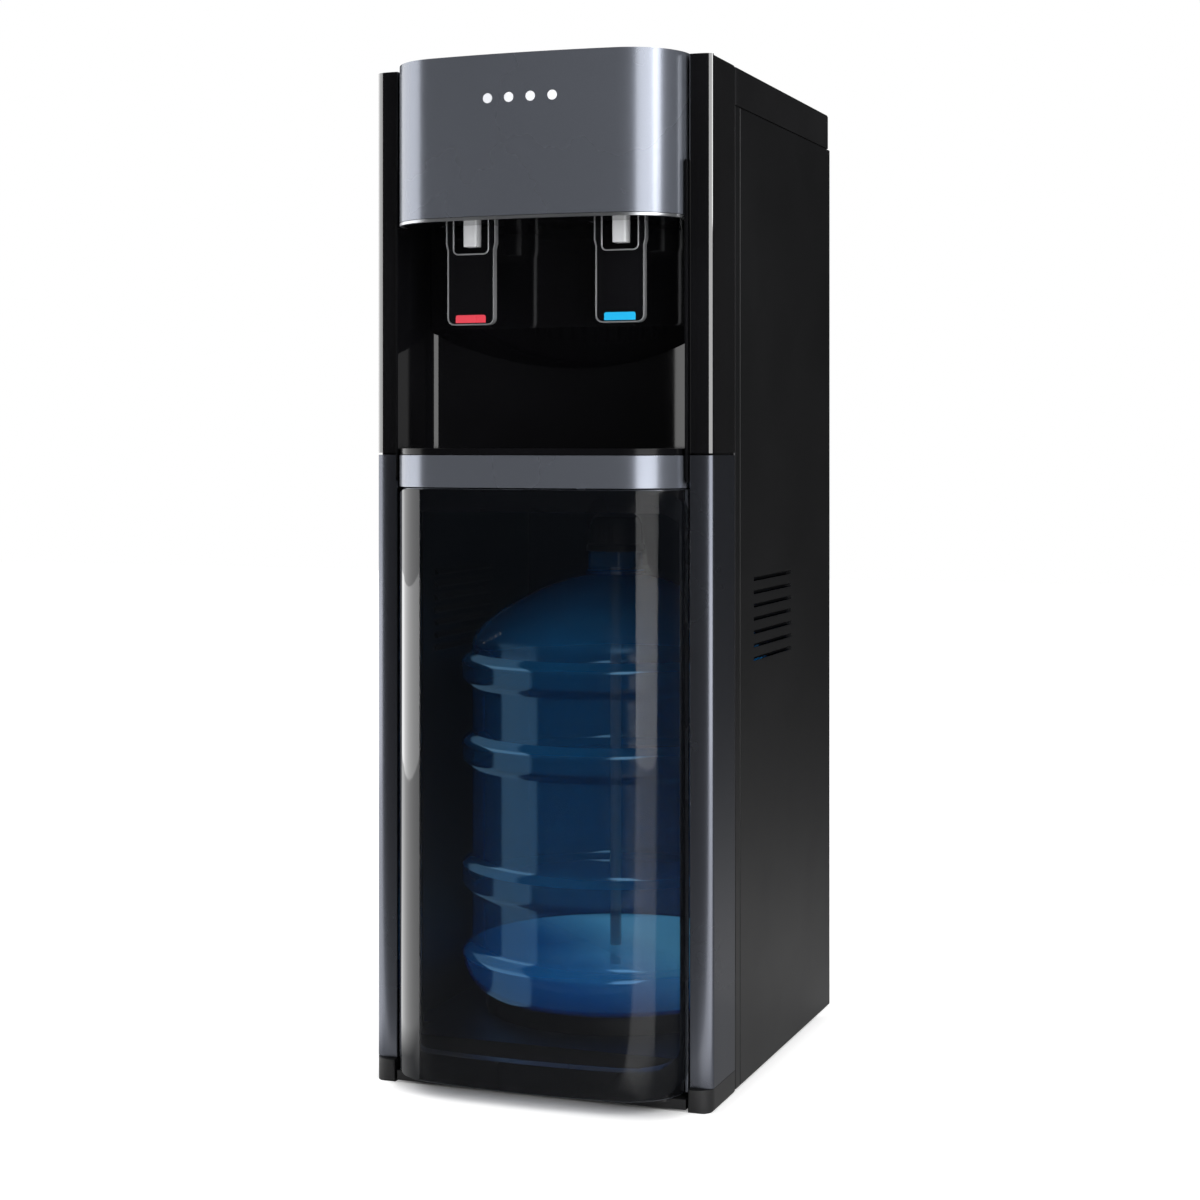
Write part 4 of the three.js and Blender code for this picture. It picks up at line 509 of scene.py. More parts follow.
def smoked_plastic():
    """Dark see-through acrylic with its own colour seen at part strength. Its opening side is printed."""
    material, tree, shader, point = start_material("smoked_window", Specular_IOR_Level=0.4)
    surface = place_group(tree, MOULDED, point, Roughness=0.03, Spread=0.015)
    tree.links.new(two_tone(tree, surface["Shade"], (0.004, 0.005, 0.007), (0.006, 0.007, 0.009)),
                   shader.inputs["Base Color"])
    tree.links.new(surface["Roughness"], shader.inputs["Roughness"])
    split = tree.nodes.new("ShaderNodeSeparateXYZ")
    tree.links.new(point, split.inputs[0])
    print_mask = ramp(tree, split.outputs["X"], -0.1065, -0.1075)
    tree.links.new(maths(tree, "MAXIMUM", ramp(tree, surface["Shade"], 0.0, 1.0, 0.3, 0.33), print_mask),
                   shader.inputs["Alpha"])
    raise_surface(tree, shader, surface["Height"], 0.000001)
    return material


def between(tree, value, low, high, soft):
    """One between two limits and nothing outside them, with soft ends."""
    rise = ramp(tree, value, low - soft, low + soft)
    fall = ramp(tree, value, high - soft, high + soft, 1.0, 0.0)
    return maths(tree, "MULTIPLY", rise, fall)


def bottle_plastic():
    """Thin blue plastic: clear where the eye meets it square, deep blue where it turns away.

    The upper side of every ring is painted paler than the lower one, a painted shade for light from above. The
    pale upright band and the small bright spots on the rings are painted highlights: they are emission that
    follows the surface's direction. The lamps hardly reach the bottle through the window, so these stand in
    for their reflections, and they stay where they are when the lamps move.
    """
    material, tree, shader, point = start_material("blue_bottle", Specular_IOR_Level=0.6,
                                                   Emission_Strength=1.0)
    surface = place_group(tree, MOULDED, point, Roughness=0.08, Spread=0.04, Grain=500.0)
    facing = tree.nodes.new("ShaderNodeLayerWeight")
    facing.inputs["Blend"].default_value = 0.35
    edge = facing.outputs["Facing"]
    split = tree.nodes.new("ShaderNodeSeparateXYZ")
    tree.links.new(tree.nodes.new("ShaderNodeNewGeometry").outputs["Normal"], split.inputs[0])
    # Painted shade: the colour is paler where the surface faces up and darker where it faces down.
    painted_ring_shade = ramp(tree, split.outputs["Z"], -0.5, 0.6)
    tree.links.new(two_tone(tree, painted_ring_shade, (0.002, 0.08, 0.27), (0.02, 0.33, 0.85)),
                   shader.inputs["Base Color"])
    tree.links.new(ramp(tree, edge, 0.0, 1.0, 0.42, 0.95), shader.inputs["Alpha"])
    tree.links.new(surface["Roughness"], shader.inputs["Roughness"])
    place = tree.nodes.new("ShaderNodeSeparateXYZ")
    tree.links.new(point, place.inputs[0])
    # Painted highlights: an emissive band and bright spots, only on the front below the shoulder.
    front = maths(tree, "MULTIPLY", ramp(tree, split.outputs["Y"], -0.2, -0.4),
                  ramp(tree, place.outputs["Z"], 0.43, 0.41))
    upper = between(tree, split.outputs["Z"], 0.3, 0.62, 0.06)
    pale = maths(tree, "MULTIPLY", between(tree, split.outputs["X"], -0.5, -0.2, 0.015),
                 maths(tree, "MULTIPLY_ADD", upper, 0.4, 0.22))
    spots = maths(tree, "MULTIPLY", between(tree, split.outputs["X"], 0.28, 0.4, 0.03), upper)
    glow = maths(tree, "MULTIPLY", maths(tree, "MULTIPLY_ADD", spots, 1.2, pale), front)
    tree.links.new(two_tone(tree, glow, (0.0, 0.0, 0.0), (0.3, 0.65, 1.0)), shader.inputs["Emission Color"])
    raise_surface(tree, shader, surface["Height"], 0.00003)
    return material


def still_water():
    """Water tinted by the bottle. Its glow is painted emission, and its colour is painted paler on its level
    face; both are strongest on part of that face.
    """
    material, tree, shader, point = start_material("water", Specular_IOR_Level=0.5, Emission_Strength=1.0)
    split = tree.nodes.new("ShaderNodeSeparateXYZ")
    tree.links.new(tree.nodes.new("ShaderNodeNewGeometry").outputs["Normal"], split.inputs[0])
    place = tree.nodes.new("ShaderNodeSeparateXYZ")
    tree.links.new(point, place.inputs[0])
    # Painted highlight: the level face is paler in colour and glows more, most of all towards its right and
    # back.
    level = maths(tree, "MULTIPLY", ramp(tree, split.outputs["Z"], 0.6, 0.95),
                  ramp(tree, maths(tree, "ADD", place.outputs["X"], place.outputs["Y"]), -0.06, 0.09))
    surface = place_group(tree, MOULDED, point, Roughness=0.04, Spread=0.02)
    tree.links.new(two_tone(tree, level, (0.0, 0.14, 0.5), (0.3, 0.65, 0.9)), shader.inputs["Base Color"])
    tree.links.new(two_tone(tree, level, (0.0, 0.075, 0.25), (0.1, 0.45, 0.75)),
                   shader.inputs["Emission Color"])
    tree.links.new(ramp(tree, level, 0.0, 1.0, 0.6, 0.9), shader.inputs["Alpha"])
    tree.links.new(surface["Roughness"], shader.inputs["Roughness"])
    return material


SMOKED, BLUE, WATER = smoked_plastic(), bottle_plastic(), still_water()
print("finishes:", len(bpy.data.materials))

# %% [markdown]
# ## Pieces that only need their edges
#
# Sheet panels, moulded blocks and brackets already have their true form in the CAD model. What makes them
# look hard and computed is their knife edges. A press leaves a small radius on sheet metal and a mould needs
# one on plastic, so each copy below gets a bevel of its own width. The triangles of the CAD mesh are merged
# and its flat faces made whole first, so that the bevel finds real edges only.


def finish(piece, node, material, also=()):
    """The piece stands for its CAD node, moves with its body and takes its finish."""
    piece.data.materials.clear()
    piece.data.materials.append(material)
    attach(piece, BODY_OF[node])
    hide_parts(node, *also)
    return piece


def copy_of(node):
    """A copy of a CAD node, its loose triangles joined and its flat faces whole."""
    piece = bpy.data.objects.new("visual_" + node, NODES[node].data.copy())
    bpy.context.scene.collection.objects.link(piece)
    edit(piece)
    if piece.data.has_custom_normals:
        bpy.ops.mesh.customdata_custom_splitnormals_clear()
    bpy.ops.mesh.remove_doubles(threshold=0.00001)
    bpy.ops.mesh.dissolve_limited(angle_limit=math.radians(0.4))
    bpy.ops.mesh.normals_make_consistent(inside=False)
    done()
    return piece


def shade(piece, angle=32):
    """Smooth across small angles, and let the large faces decide the normals."""
    smooth(piece, angle)
    modify(piece, "WEIGHTED_NORMAL", keep_sharp=True, weight=50)


def dress(node, material, width, segments=2, angle=30):
    piece = copy_of(node)
    if node.startswith("side_panel"):
        edit(piece)
        choose("EDGE", lambda c, e: c.y < -0.1187 and abs(c.x) > 0.1749 and e.calc_length() > 0.5)
        bpy.ops.mesh.bevel(offset=0.0024, segments=4, affect="EDGES")
        done()
    if width:
        soften(piece, width, segments, angle)
    shade(piece)
    return finish(piece, node, material)


EDGES = {
    "base_tray": (SATIN_BLACK, 0.0006), "front_foot_left": (SATIN_BLACK, 0.001),
    "front_foot_right": (SATIN_BLACK, 0.001), "rear_foot_left": (RUBBER, 0.001),
    "rear_foot_right": (RUBBER, 0.001), "side_panel_left": (PANEL_BLACK, 0.0004),
    "side_panel_right": (PANEL_BLACK, 0.0004), "rear_panel": (BLACK_PAINT, 0.0003),
    "mid_shelf": (BLACK_PAINT, 0.0003), "tank_deck": (STEEL, 0.0004), "top_cover": (SATIN_BLACK, 0.0008),
    "service_cover": (SATIN_BLACK, 0.0006), "door_catch": (SATIN_BLACK, 0.0006),
    "door_strike": (STEEL, 0.0002), "hinge_upper": (BLACK_PAINT, 0.0003),
    "hinge_lower": (BLACK_PAINT, 0.0003), "drip_grille": (SATIN_BLACK, 0.0004),
    "tap_valve_hot": (SATIN_BLACK, 0.0008), "tap_valve_cold": (SATIN_BLACK, 0.0008),
    "control_board": (BOARD_GREEN, 0.0002), "power_inlet": (SATIN_BLACK, 0.0004),
    "rocker_hot": (RED_PLASTIC, 0.0004), "rocker_cold": (GREEN_PLASTIC, 0.0004),
    "drain_cap": (WHITE_PLASTIC, 0.0003), "pump": (WHITE_PLASTIC, 0.001), "compressor": (BLACK_PAINT, 0.001),
    "cold_tank": (FOAM, 0.002), "hot_tank": (STEEL, 0.001), "lever_pin_hot": (STEEL, 0),
    "lever_pin_cold": (STEEL, 0), "suction_hose": (CLEAR_TUBE, 0), "probe_tube": (CLEAR_TUBE, 0),
    "tap_housing": (GLOSS_BLACK, 0.0012),
    "drip_tray": (TRAY_BLACK, 0.0012), "door_frame": (GUNMETAL, 0.0008),
}
for node, (material, width) in EDGES.items():
    dress(node, material, width)
seat = block("cover_seat", (0, 0.058, 0.9605), (0.344, 0.352, 0.0026))
seat.data.materials.append(BLACK_PAINT)
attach(seat, "cabinet")
print("dressed:", len(EDGES), "and a seat under the top cover")

# %% [markdown]
# ## Pillars
#
# Each pillar is a folded channel. Its front curves gently away and then turns a tight corner that catches
# one fine line of light, and a return runs back beside the door. A block gets its corners first: the outer
# one is rounded wide and then pressed flat towards the front. The block then loses its back and most of its
# inner side, and the open skin that is left gets its thickness. The upper pillar keeps its top. A black block
# joins the two pillars inside, so no light comes through the split between them.


# %% Open a block into a channel
PILLAR_FRONT, PILLAR_CUT = -0.193, -0.155


def pillar(side, level, low, high, material, node):
    piece = block("pillar_%s_%s_visual" % (level, "left" if side < 0 else "right"),
                  (side * 0.1635, -0.1565, (low + high) / 2), (0.023, 0.073, high - low))
    edit(piece)
    upright = lambda e: abs(e.verts[0].co.z - e.verts[1].co.z) > 0.1
    choose("EDGE", lambda c, e: upright(e) and c.y < PILLAR_FRONT + 0.001 and c.x * side > 0.17)
    bpy.ops.mesh.bevel(offset=0.016, segments=12, affect="EDGES")
    choose("VERT", lambda c, v: c.x * side > 0.1592 and PILLAR_FRONT + 0.00001 < c.y < -0.1769)
    bpy.ops.transform.resize(value=(1, 0.375, 1), center_override=(0, PILLAR_FRONT, 0))
    choose("EDGE", lambda c, e: upright(e) and c.y < PILLAR_FRONT + 0.001 and c.x * side < 0.153)
    bpy.ops.mesh.bevel(offset=0.0012, segments=3, affect="EDGES")
    if level == "upper":
        choose("EDGE", lambda c, e: c.z > high - 0.0001 and c.x * side > 0.1749)
        bpy.ops.mesh.bevel(offset=0.004, segments=4, affect="EDGES")
    bpy.ops.mesh.select_all(action="SELECT")
    bpy.ops.mesh.bisect(plane_co=(0, PILLAR_CUT, 0), plane_no=(0, 1, 0))
    choose("FACE", lambda c, f: f.normal.y > 0.9 or f.normal.z < -0.9
           or (f.normal.z > 0.9 and level == "lower")
           or (c.x * side < 0.1521 and c.y > PILLAR_CUT and abs(f.normal.x) > 0.9))
    bpy.ops.mesh.delete(type="FACE")
    done()
    modify(piece, "SOLIDIFY", thickness=0.0025, offset=-1, use_even_offset=True)
    soften(piece, 0.0004)
    shade(piece)
    return finish(piece, node, material)


for side, name in ((-1, "left"), (1, "right")):
    pillar(side, "lower", 0.0223, 0.6202, PILLAR_PAINT, "pillar_lower_" + name)
    pillar(side, "upper", 0.6222, 1.0, PILLAR_BLACK, "pillar_upper_" + name)
    joiner = block("pillar_joiner_" + name, (side * 0.163, -0.1555, 0.6212), (0.017, 0.062, 0.0052))
    soften(joiner, 0.0003)
    joiner.data.materials.append(GLOSS_BLACK)
    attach(joiner, "cabinet")
print("pillars ready")

# %% [markdown]
# ## The bowed front
#
# The control panel, its silver lip, the band below the niche and the door window all share one plan curve: a
# shallow arc of 900 mm that rolls round into each side on 60 mm. On the real cooler they are separate
# mouldings cut to the same curve. Here each starts as one upright edge. Spinning that edge round three
# centres draws the curve, and the sheet then gets its thickness.

# %% Spin one upright edge round three centres
BOW_HALF, ROLL, RADIUS, FRONT = 0.1487, 0.06, 0.9, -0.246
CENTRE_Y = FRONT + RADIUS
ROLL_X = BOW_HALF - ROLL
ROLL_Y = CENTRE_Y - math.sqrt((RADIUS - ROLL) ** 2 - ROLL_X ** 2)
ROLL_TURN = math.atan2(ROLL_X, CENTRE_Y - ROLL_Y)


def bowed_sheet(name, inset, low, high, tail=0.0):
    """An open sheet along the front's plan curve, with a straight tail at each end if wanted."""
    depth = tail or 0.01
    middle = (-(BOW_HALF - inset), ROLL_Y + depth / 2, (low + high) / 2)
    sheet = upright_sheet(name, middle, (1, depth, high - low), turn=90)
    edit(sheet)
    if not tail:
        choose("VERT", lambda c, v: c.y > ROLL_Y + depth / 2)
        bpy.ops.mesh.delete(type="VERT")
    choose("EDGE", lambda c, e: c.y < ROLL_Y + 0.00001)
    quarter = math.pi / 2 - ROLL_TURN
    for steps, turn, centre in ((14, quarter, (-ROLL_X, ROLL_Y, 0)), (20, 2 * ROLL_TURN, (0, CENTRE_Y, 0)),
                                (14, quarter, (ROLL_X, ROLL_Y, 0))):
        bpy.ops.mesh.spin(steps=steps, angle=-turn, center=centre, axis=(0, 0, 1))
    if tail:
        bpy.ops.mesh.extrude_region_move(TRANSFORM_OT_translate={"value": (0, tail, 0)})
    bpy.ops.mesh.select_all(action="SELECT")
    bpy.ops.mesh.remove_doubles(threshold=0.00001)
    bpy.ops.mesh.normals_make_consistent(inside=False)
    done()
    return sheet


def thicken(sheet, thickness):
    modify(sheet, "SOLIDIFY", thickness=thickness, offset=-1, use_even_offset=True)
    return sheet


band = thicken(bowed_sheet("fascia_band_visual", 0, 0.5892, 0.6202), 0.003)
soften(band, 0.0006)
shade(band)
finish(band, "fascia_band", GUNMETAL)
lip = thicken(bowed_sheet("panel_lip_visual", 0.0002, 0.8449, 0.8479), 0.0033)
soften(lip, 0.0005)
shade(lip)
finish(lip, "panel_lip", SILVER_TRIM)
for piece in (band, lip):
    ys = [v.co.y for v in piece.data.vertices]
    print(piece.name, "from y", round(min(ys), 4), "to", round(max(ys), 4))

# %% [markdown]
# ## The niche
#
# The niche is one deep moulding in gloss black. Seen from above, its side walls turn through tight corners
# into one shallow curve at the back. Gloss black shows those curves as upright lines of light, so the curve
# has to be even. It is spun from one upright edge like the front, and it stands on the floor of the CAD
# piece, which is cut off just above the wall's foot and closed.

# %% Spin the back wall
NICHE_HALF, CORNER, SWEEP, SWEEP_Y = 0.149, 0.014, 0.311, -0.394
CORNER_Y = SWEEP_Y + math.sqrt((SWEEP - CORNER) ** 2 - (NICHE_HALF - CORNER) ** 2)
NICHE_TURN = math.asin((NICHE_HALF - CORNER) / (SWEEP - CORNER))
NICHE_FRONT = -0.198
wall_depth = CORNER_Y - NICHE_FRONT
niche = upright_sheet("niche_visual", (-NICHE_HALF, NICHE_FRONT + wall_depth / 2, 0.7474),
                      (1, wall_depth, 0.3052),
                      turn=90)
edit(niche)
choose("EDGE", lambda c, e: c.y > CORNER_Y - 0.00001)
for steps, turn, centre in ((12, math.pi / 2 - NICHE_TURN, (CORNER - NICHE_HALF, CORNER_Y, 0)),
                            (40, 2 * NICHE_TURN, (0, SWEEP_Y, 0)),
                            (12, math.pi / 2 - NICHE_TURN, (NICHE_HALF - CORNER, CORNER_Y, 0))):
    bpy.ops.mesh.spin(steps=steps, angle=turn, center=centre, axis=(0, 0, 1))
bpy.ops.mesh.extrude_region_move(TRANSFORM_OT_translate={"value": (0, -wall_depth, 0)})
bpy.ops.mesh.select_all(action="SELECT")
bpy.ops.mesh.remove_doubles(threshold=0.00001)
bpy.ops.mesh.normals_make_consistent(inside=False)
done()
modify(niche, "SOLIDIFY", thickness=0.0022, offset=1, use_even_offset=True)
niche_floor = copy_of("niche_liner")
edit(niche_floor)
bpy.ops.mesh.bisect(plane_co=(0, 0, 0.5981), plane_no=(0, 0, 1), clear_outer=True, use_fill=True)
done()
join(niche, niche_floor)
soften(niche, 0.0003)
shade(niche)
finish(niche, "niche_liner", GLOSS_BLACK)
print("niche from x", round(min(v.co.x for v in niche.data.vertices), 4), "back at y",
      round(max(v.co.y for v in niche.data.vertices), 4))

# %% [markdown]
# ## The control panel
#
# The panel is a hood: a bowed front, a flat top that runs back between the pillars, and no underside. The
# sheet's top edge is closed with one face, and that face's back edge is drawn out to reach the top cover.
# Four round windows are then cut for the lamps. A lamp is a round lens that sits flush in its hole, so all
# that shows of the joint is a fine dark ring.

# %% Hood and lamps
panel = bowed_sheet("control_panel_visual", 0, 0.8482, 1.002, tail=0.0193)
edit(panel)
choose("EDGE", lambda c, e: all(v.co.z > 1.001 for v in e.verts))
bpy.ops.mesh.edge_face_add()
choose("EDGE", lambda c, e: c.z > 1.001 and c.y > ROLL_Y + 0.019 and abs(c.x) < 0.01)
bpy.ops.mesh.extrude_region_move(TRANSFORM_OT_translate={"value": (0, 0.0408, 0)})
bpy.ops.mesh.select_all(action="SELECT")
bpy.ops.mesh.normals_make_consistent(inside=False)
done()
thicken(panel, 0.003)

LAMPS = [(index - 1.5) * 0.022 for index in range(4)]
LAMP_Z = 0.9602
clear()
for x in LAMPS:
    bpy.ops.mesh.primitive_cylinder_add(vertices=48, radius=0.0052, depth=0.03, location=(x, FRONT, LAMP_Z),
                                        rotation=(math.radians(90), 0, 0))
    drill = settle("lamp_drill")
    carve(panel, drill)
soften(panel, 0.0007)
shade(panel)
finish(panel, "control_panel", GUNMETAL)


def white_lens():
    """Milky plastic whose tone varies a little at random."""
    material, tree, shader, point = start_material("white_lens", Roughness=0.18, Coat_Weight=0.3)
    surface = place_group(tree, MOULDED, point, Roughness=0.2, Spread=0.05)
    tree.links.new(two_tone(tree, surface["Shade"], (0.78, 0.8, 0.84), (0.9, 0.91, 0.94)),
                   shader.inputs["Base Color"])
    tree.links.new(surface["Roughness"], shader.inputs["Roughness"])
    return material


WHITE_LENS = white_lens()
for index, x in enumerate(LAMPS, 1):
    clear()
    face = FRONT + x * x / (2 * RADIUS)
    bpy.ops.mesh.primitive_cylinder_add(vertices=40, radius=0.00485, depth=0.004,
                                        location=(x, face + 0.002, LAMP_Z), rotation=(math.radians(90), 0, 0))
    lens = settle("lamp_lens_%d" % index)
    soften(lens, 0.0005, 3)
    shade(lens)
    finish(lens, "indicator_lens_%d" % index, WHITE_LENS)
print("lamps at", [round(x, 4) for x in LAMPS])

# %% [markdown]
# ## The door window
#
# The window is a sheet of smoked acrylic in front of the door frame, with a wide radius at each corner. The
# frame is black where the sheet covers it and shows its paint only in its returns. Its hinge side is narrower
# than the other, so the bottle shows up to the edge there, and a black print on the sheet's opening side hides
# the catch. The bowed sheet is trimmed by a block that has those corners, so the
# curve and the outline stay independent of each other.

# %% Trim the window
frame_piece = bpy.data.objects["visual_door_frame"]
wider = block("wider_opening", (0.122, -0.215, 0.3045), (0.043, 0.1, 0.5226))
edit(wider)
choose("EDGE", lambda c, e: c.x > 0.143 and abs(c.y + 0.215) < 0.001)
bpy.ops.mesh.bevel(offset=0.016, segments=8, affect="EDGES")
done()
carve(frame_piece, wider)
frame_piece.data.materials.append(TRAY_BLACK)
covered = 0
for face in frame_piece.data.polygons:
    if 0.0168 < face.center.z < 0.5862 and abs(face.normal.z) < 0.5:
        face.material_index = 1
        covered += 1
print("faces behind the border:", covered)

returns = thicken(bowed_sheet("door_returns", 0.0001, 0.0152, 0.5878), 0.0031)
carve(returns, block("front_part", (0, ROLL_Y - 0.054, 0.3), (0.4, 0.1, 0.7)))
soften(returns, 0.0005)
shade(returns)
returns.data.materials.append(GUNMETAL)
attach(returns, "door")

window = thicken(bowed_sheet("door_window_visual", 0, 0.016, 0.587), 0.003)
WINDOW_CORNER = 0.022
trim_y = ROLL_Y - 0.0545
trim = block("window_trim", (0, trim_y, 0.3015), (0.2974, 0.1, 0.571))
edit(trim)
print("corner edges:", choose("EDGE", lambda c, e: abs(c.y - trim_y) < 0.001 and abs(c.x) > 0.1))
bpy.ops.mesh.bevel(offset=WINDOW_CORNER, segments=12, affect="EDGES")
done()
carve(window, trim, "INTERSECT")
soften(window, 0.0011, 3)
shade(window)
finish(window, "door_window", SMOKED)

# %% [markdown]
# ## The bottle
#
# A returnable bottle of this kind is blown into a mould, so it is round, with a rounded foot, three raised
# rings that stiffen it and a domed shoulder. It is drawn as one ring of corners that climbs from the foot to
# the neck and is resized at each step. The water inside is the same profile a little smaller, cut off level.

# %% Climb from ring to ring
BOTTLE_Y = 0.024


def climb(name, profile, centre_y, segments=96):
    """Raise a circle through (radius, height) pairs, then close both ends."""
    clear()
    radius, height = profile[0]
    bpy.ops.mesh.primitive_circle_add(vertices=segments, radius=radius, location=(0, centre_y, height),
                                      fill_type="NGON")
    piece = settle(name)
    edit(piece)
    for wider, higher in profile[1:]:
        bpy.ops.mesh.extrude_region_move(TRANSFORM_OT_translate={"value": (0, 0, higher - height)})
        scale = wider / radius
        bpy.ops.transform.resize(value=(scale, scale, 1), center_override=(0, centre_y, higher))
        radius, height = wider, higher
    bpy.ops.mesh.select_all(action="SELECT")
    bpy.ops.mesh.normals_make_consistent(inside=False)
    done()
    return piece


def ease(t):
    return t * t * (3 - 2 * t)


def bottle_radius(z):
    """The outside radius between the foot's bulge and the shoulder."""
    radius = 0.1515
    for ring in (0.181, 0.311, 0.395):
        away = abs(z - ring)
        radius += 0.0105 * ease(min(1, max(0, (0.019 - away) / 0.01)))
    if z < 0.11:
        radius += 0.0105 * ease(min(1, (0.11 - z) / 0.012))
    return radius


def bottle_profile(offset=0.0):
    foot = [(0.13 - offset, 0.0583 + offset), (0.139 - offset, 0.0592 + offset),
            (0.148 - offset, 0.0655 + offset), (0.1555 - offset, 0.076), (0.16 - offset, 0.087),
            (0.162 - offset, 0.097)]
    body = [(bottle_radius(0.098 + 0.003 * i) - offset, 0.098 + 0.003 * i) for i in range(109)]
    dome = [(0.0295 + 0.122 * math.cos(a) ** 1.5 - offset, 0.422 + 0.072 * math.sin(a) ** 1.35 - offset)
            for a in (math.radians(8 + 3 * i) for i in range(27))]
    return foot + [pair for pair in body if pair[1] < 0.423 - offset] + dome


neck = [(0.0295, 0.4938), (0.032, 0.4943), (0.032, 0.498), (0.0295, 0.499), (0.0295, 0.518)]
bottle = climb("bottle_visual", bottle_profile() + neck, BOTTLE_Y)
shade(bottle, 40)
finish(bottle, "bottle", BLUE)
WATER_LEVEL = 0.102
wet = [(radius, height) for radius, height in bottle_profile(0.0035) if height < WATER_LEVEL]
water = climb("water", wet + [(wet[-1][0], WATER_LEVEL)], BOTTLE_Y)
shade(water, 40)
water.data.materials.append(WATER)
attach(water, "cabinet")
print("bottle rings:", len(bottle_profile()) + len(neck), "water rings:", len(wet) + 1)

# %% [markdown]
# ## Cap, condenser and the rear
#
# The probe cap is a moulding whose skirt is drawn out a little for the grip: a broad pad on the left, seven
# ribs behind it and three in front. The condenser on the back is a folded tube with upright wires welded
# across it, which the CAD model leaves to this lesson. One wire is modelled and copied along the tube.

# %% Probe cap
CAP_SIDES = 60
PAD_SIDES = range(22, 42)
RIB_SIDES = [*range(8, 22, 2), *range(43, 48, 2)]


def in_grip(c, f):
    """Whether a face of the skirt stands out. Its sides are counted from the right, round by the back."""
    side = math.floor(math.atan2(c.y - BOTTLE_Y, c.x) / math.tau * CAP_SIDES) % CAP_SIDES
    return 0.528 < c.z < 0.545 and (side in PAD_SIDES or side in RIB_SIDES)


cap = climb("probe_cap_visual", [(0.0263, 0.5023), (0.0263, 0.5183), (0.031, 0.5183), (0.031, 0.5243),
                                 (0.0288, 0.5263), (0.0278, 0.546), (0.024, 0.554), (0.016, 0.558)], BOTTLE_Y,
            CAP_SIDES)
edit(cap)
drawn_out = choose("FACE", in_grip)
bpy.ops.mesh.extrude_faces_move(TRANSFORM_OT_shrink_fatten={"value": 0.0006})
done()
clear()
bpy.ops.mesh.primitive_cylinder_add(vertices=24, radius=0.006, depth=0.026,
                                    location=(0, BOTTLE_Y + 0.031, 0.546),
                                    rotation=(math.radians(90), 0, 0))
barb = settle("barb")
join(cap, barb)
soften(cap, 0.0004)
shade(cap)
finish(cap, "probe_cap", SATIN_BLACK)
print("cap faces drawn out:", drawn_out)

# %% Condenser
dress("condenser", BLACK_PAINT, 0)
clear()
bpy.ops.mesh.primitive_cylinder_add(vertices=8, radius=0.0007, depth=0.616, location=(-0.112, 0.2285, 0.37))
wire = settle("condenser_wire_01")
smooth(wire, 50)
wire.data.materials.append(BLACK_PAINT)
wires = [wire]
for step in range(1, 29):
    take(wire)
    bpy.ops.object.duplicate()
    bpy.ops.transform.translate(value=(0.008 * step, 0, 0))
    wires.append(settle("condenser_wire_%02d" % (step + 1)))
for piece in wires:
    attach(piece, "cabinet")
print("wires:", len(wires))

# %% [markdown]
# ## Levers
#
# A cup pushes the lever back against its spring. The lever is a black plate in a thin bright rim, with a deep
# notch where the spout looks through. A fine bezel follows the notch. At the foot sits a coloured tab that
# says hot or cold without a word. The plate starts as one flat face with its lower corners rounded and its
# upper part drawn out a little, and gets its thickness last. A block with two round edges cuts the notch.


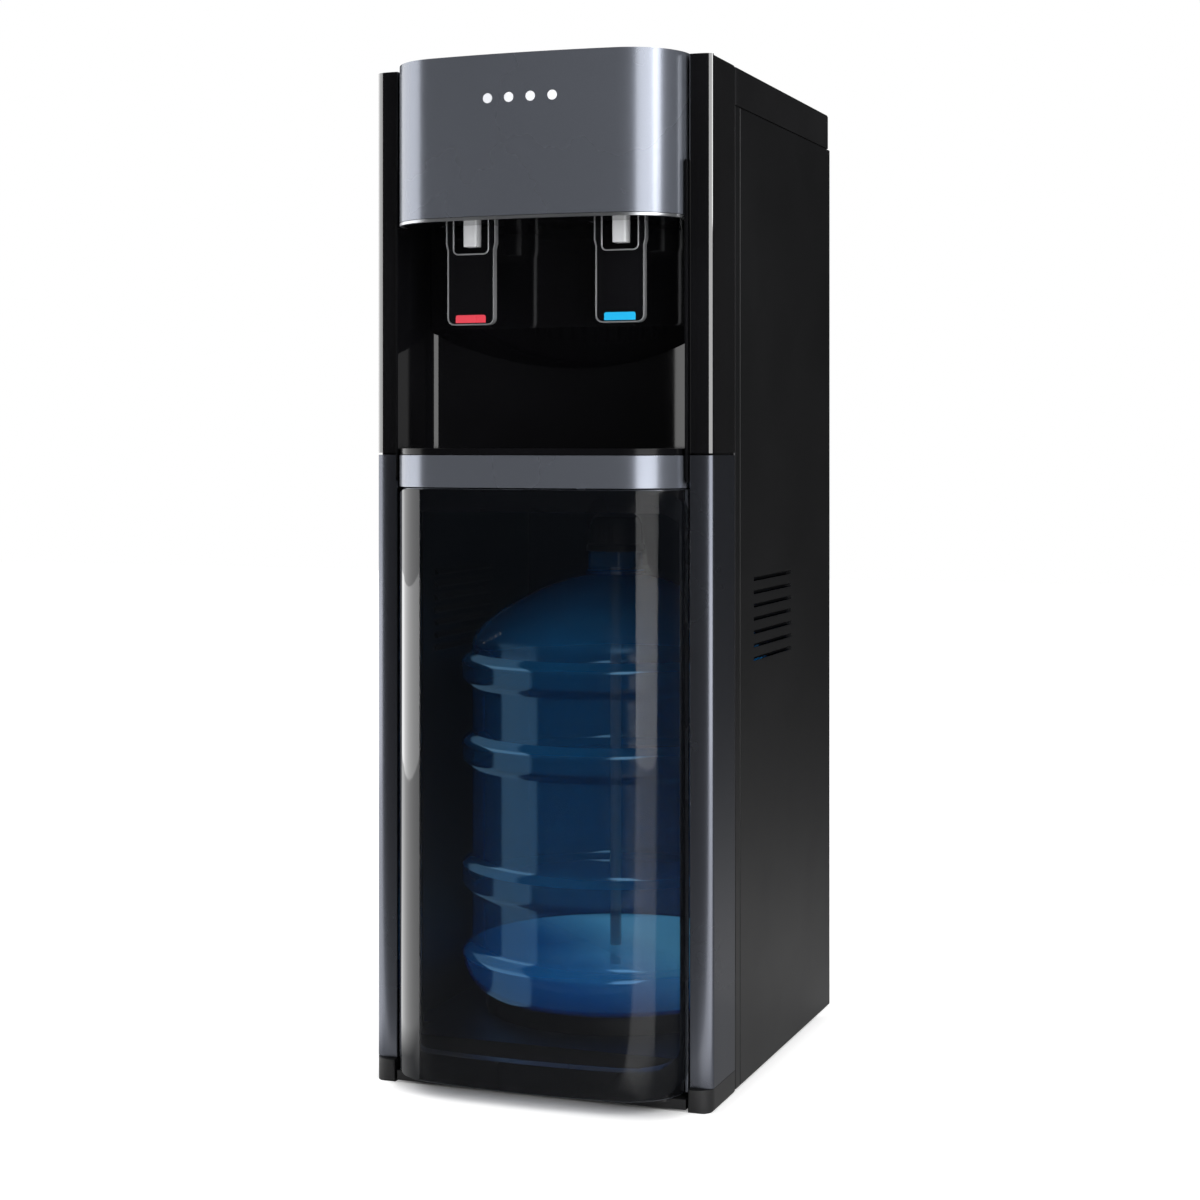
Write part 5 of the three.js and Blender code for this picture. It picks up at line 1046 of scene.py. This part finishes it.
# %% Plate, rim, tab and spout
def lever_plate(side, tap_x):
    """The plate with its notch, and the two eyes that turn on the pin."""
    plate = upright_sheet("lever_plate_" + side, (tap_x, -0.181, 0.80975), (0.047, 1, 0.1205))
    edit(plate)
    choose("VERT", lambda c, v: c.z < 0.78)
    bpy.ops.mesh.bevel(offset=0.0055, segments=6, affect="VERTICES")
    for height in (0.822, 0.828):
        bpy.ops.mesh.select_all(action="SELECT")
        bpy.ops.mesh.bisect(plane_co=(0, 0, height), plane_no=(0, 0, 1))
    choose("VERT", lambda c, v: c.z > 0.8275)
    bpy.ops.transform.resize(value=(25 / 23.5, 1, 1), center_override=(tap_x, -0.181, 0.85))
    bpy.ops.mesh.select_all(action="SELECT")
    bpy.ops.mesh.extrude_region_move(TRANSFORM_OT_translate={"value": (0, 0.008, 0)})
    bpy.ops.mesh.select_all(action="SELECT")
    bpy.ops.mesh.normals_make_consistent(inside=False)
    done()
    notch = block("notch_block", (tap_x, -0.177, 0.848), (0.037, 0.03, 0.06))
    edit(notch)
    choose("EDGE", lambda c, e: c.z < 0.8181 and abs(c.x - tap_x) > 0.018 and abs(c.y + 0.177) < 0.001)
    bpy.ops.mesh.bevel(offset=0.005, segments=6, affect="EDGES")
    done()
    carve(plate, notch)
    eyes = []
    for way in (-1, 1):
        clear()
        bpy.ops.mesh.primitive_cylinder_add(vertices=40, radius=0.007, depth=0.0062,
                                            location=(tap_x + way * 0.0219, -0.177, 0.872),
                                            rotation=(0, math.radians(90), 0))
        eyes.append(settle("eye"))
    join(plate, *eyes)
    soften(plate, 0.0006)
    shade(plate)
    return finish(plate, "lever_" + side, GLOSS_BLACK)


def notch_bezel(side, tap_x):
    """A plate as large as the bezel, its lower corners rounded, hollowed by an inset and open at the top."""
    low, high, half = 0.8172, 0.8662, 0.0193
    bezel = upright_sheet("notch_bezel_" + side, (tap_x, -0.181, (low + high) / 2), (2 * half, 1, high - low))
    edit(bezel)
    choose("VERT", lambda c, v: c.z < (low + high) / 2)
    bpy.ops.mesh.bevel(offset=0.0058, segments=6, affect="VERTICES")
    bpy.ops.mesh.select_all(action="SELECT")
    bpy.ops.mesh.inset(thickness=0.0013)
    bpy.ops.mesh.delete(type="FACE")
    choose("FACE", lambda c, f: c.z > high - 0.002)
    bpy.ops.mesh.delete(type="FACE")
    bpy.ops.mesh.select_all(action="SELECT")
    bpy.ops.mesh.extrude_region_move(TRANSFORM_OT_translate={"value": (0, -0.0003, 0)})
    bpy.ops.mesh.select_all(action="SELECT")
    bpy.ops.mesh.normals_make_consistent(inside=False)
    done()
    soften(bezel, 0.00015, 1)
    shade(bezel)
    bezel.data.materials.append(RIM_METAL)
    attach(bezel, side + "_lever")
    return bezel


for side, tap_x, colour in (("hot", -0.078, RED_PLASTIC), ("cold", 0.078, BLUE_PLASTIC)):
    lever_plate(side, tap_x)
    dress("lever_rim_" + side, RIM_METAL, 0.0003)
    dress("lever_tab_" + side, colour, 0.0003)
    dress("spout_" + side, WHITE_PLASTIC, 0.0012, 3)
    notch_bezel(side, tap_x)
print("levers ready")
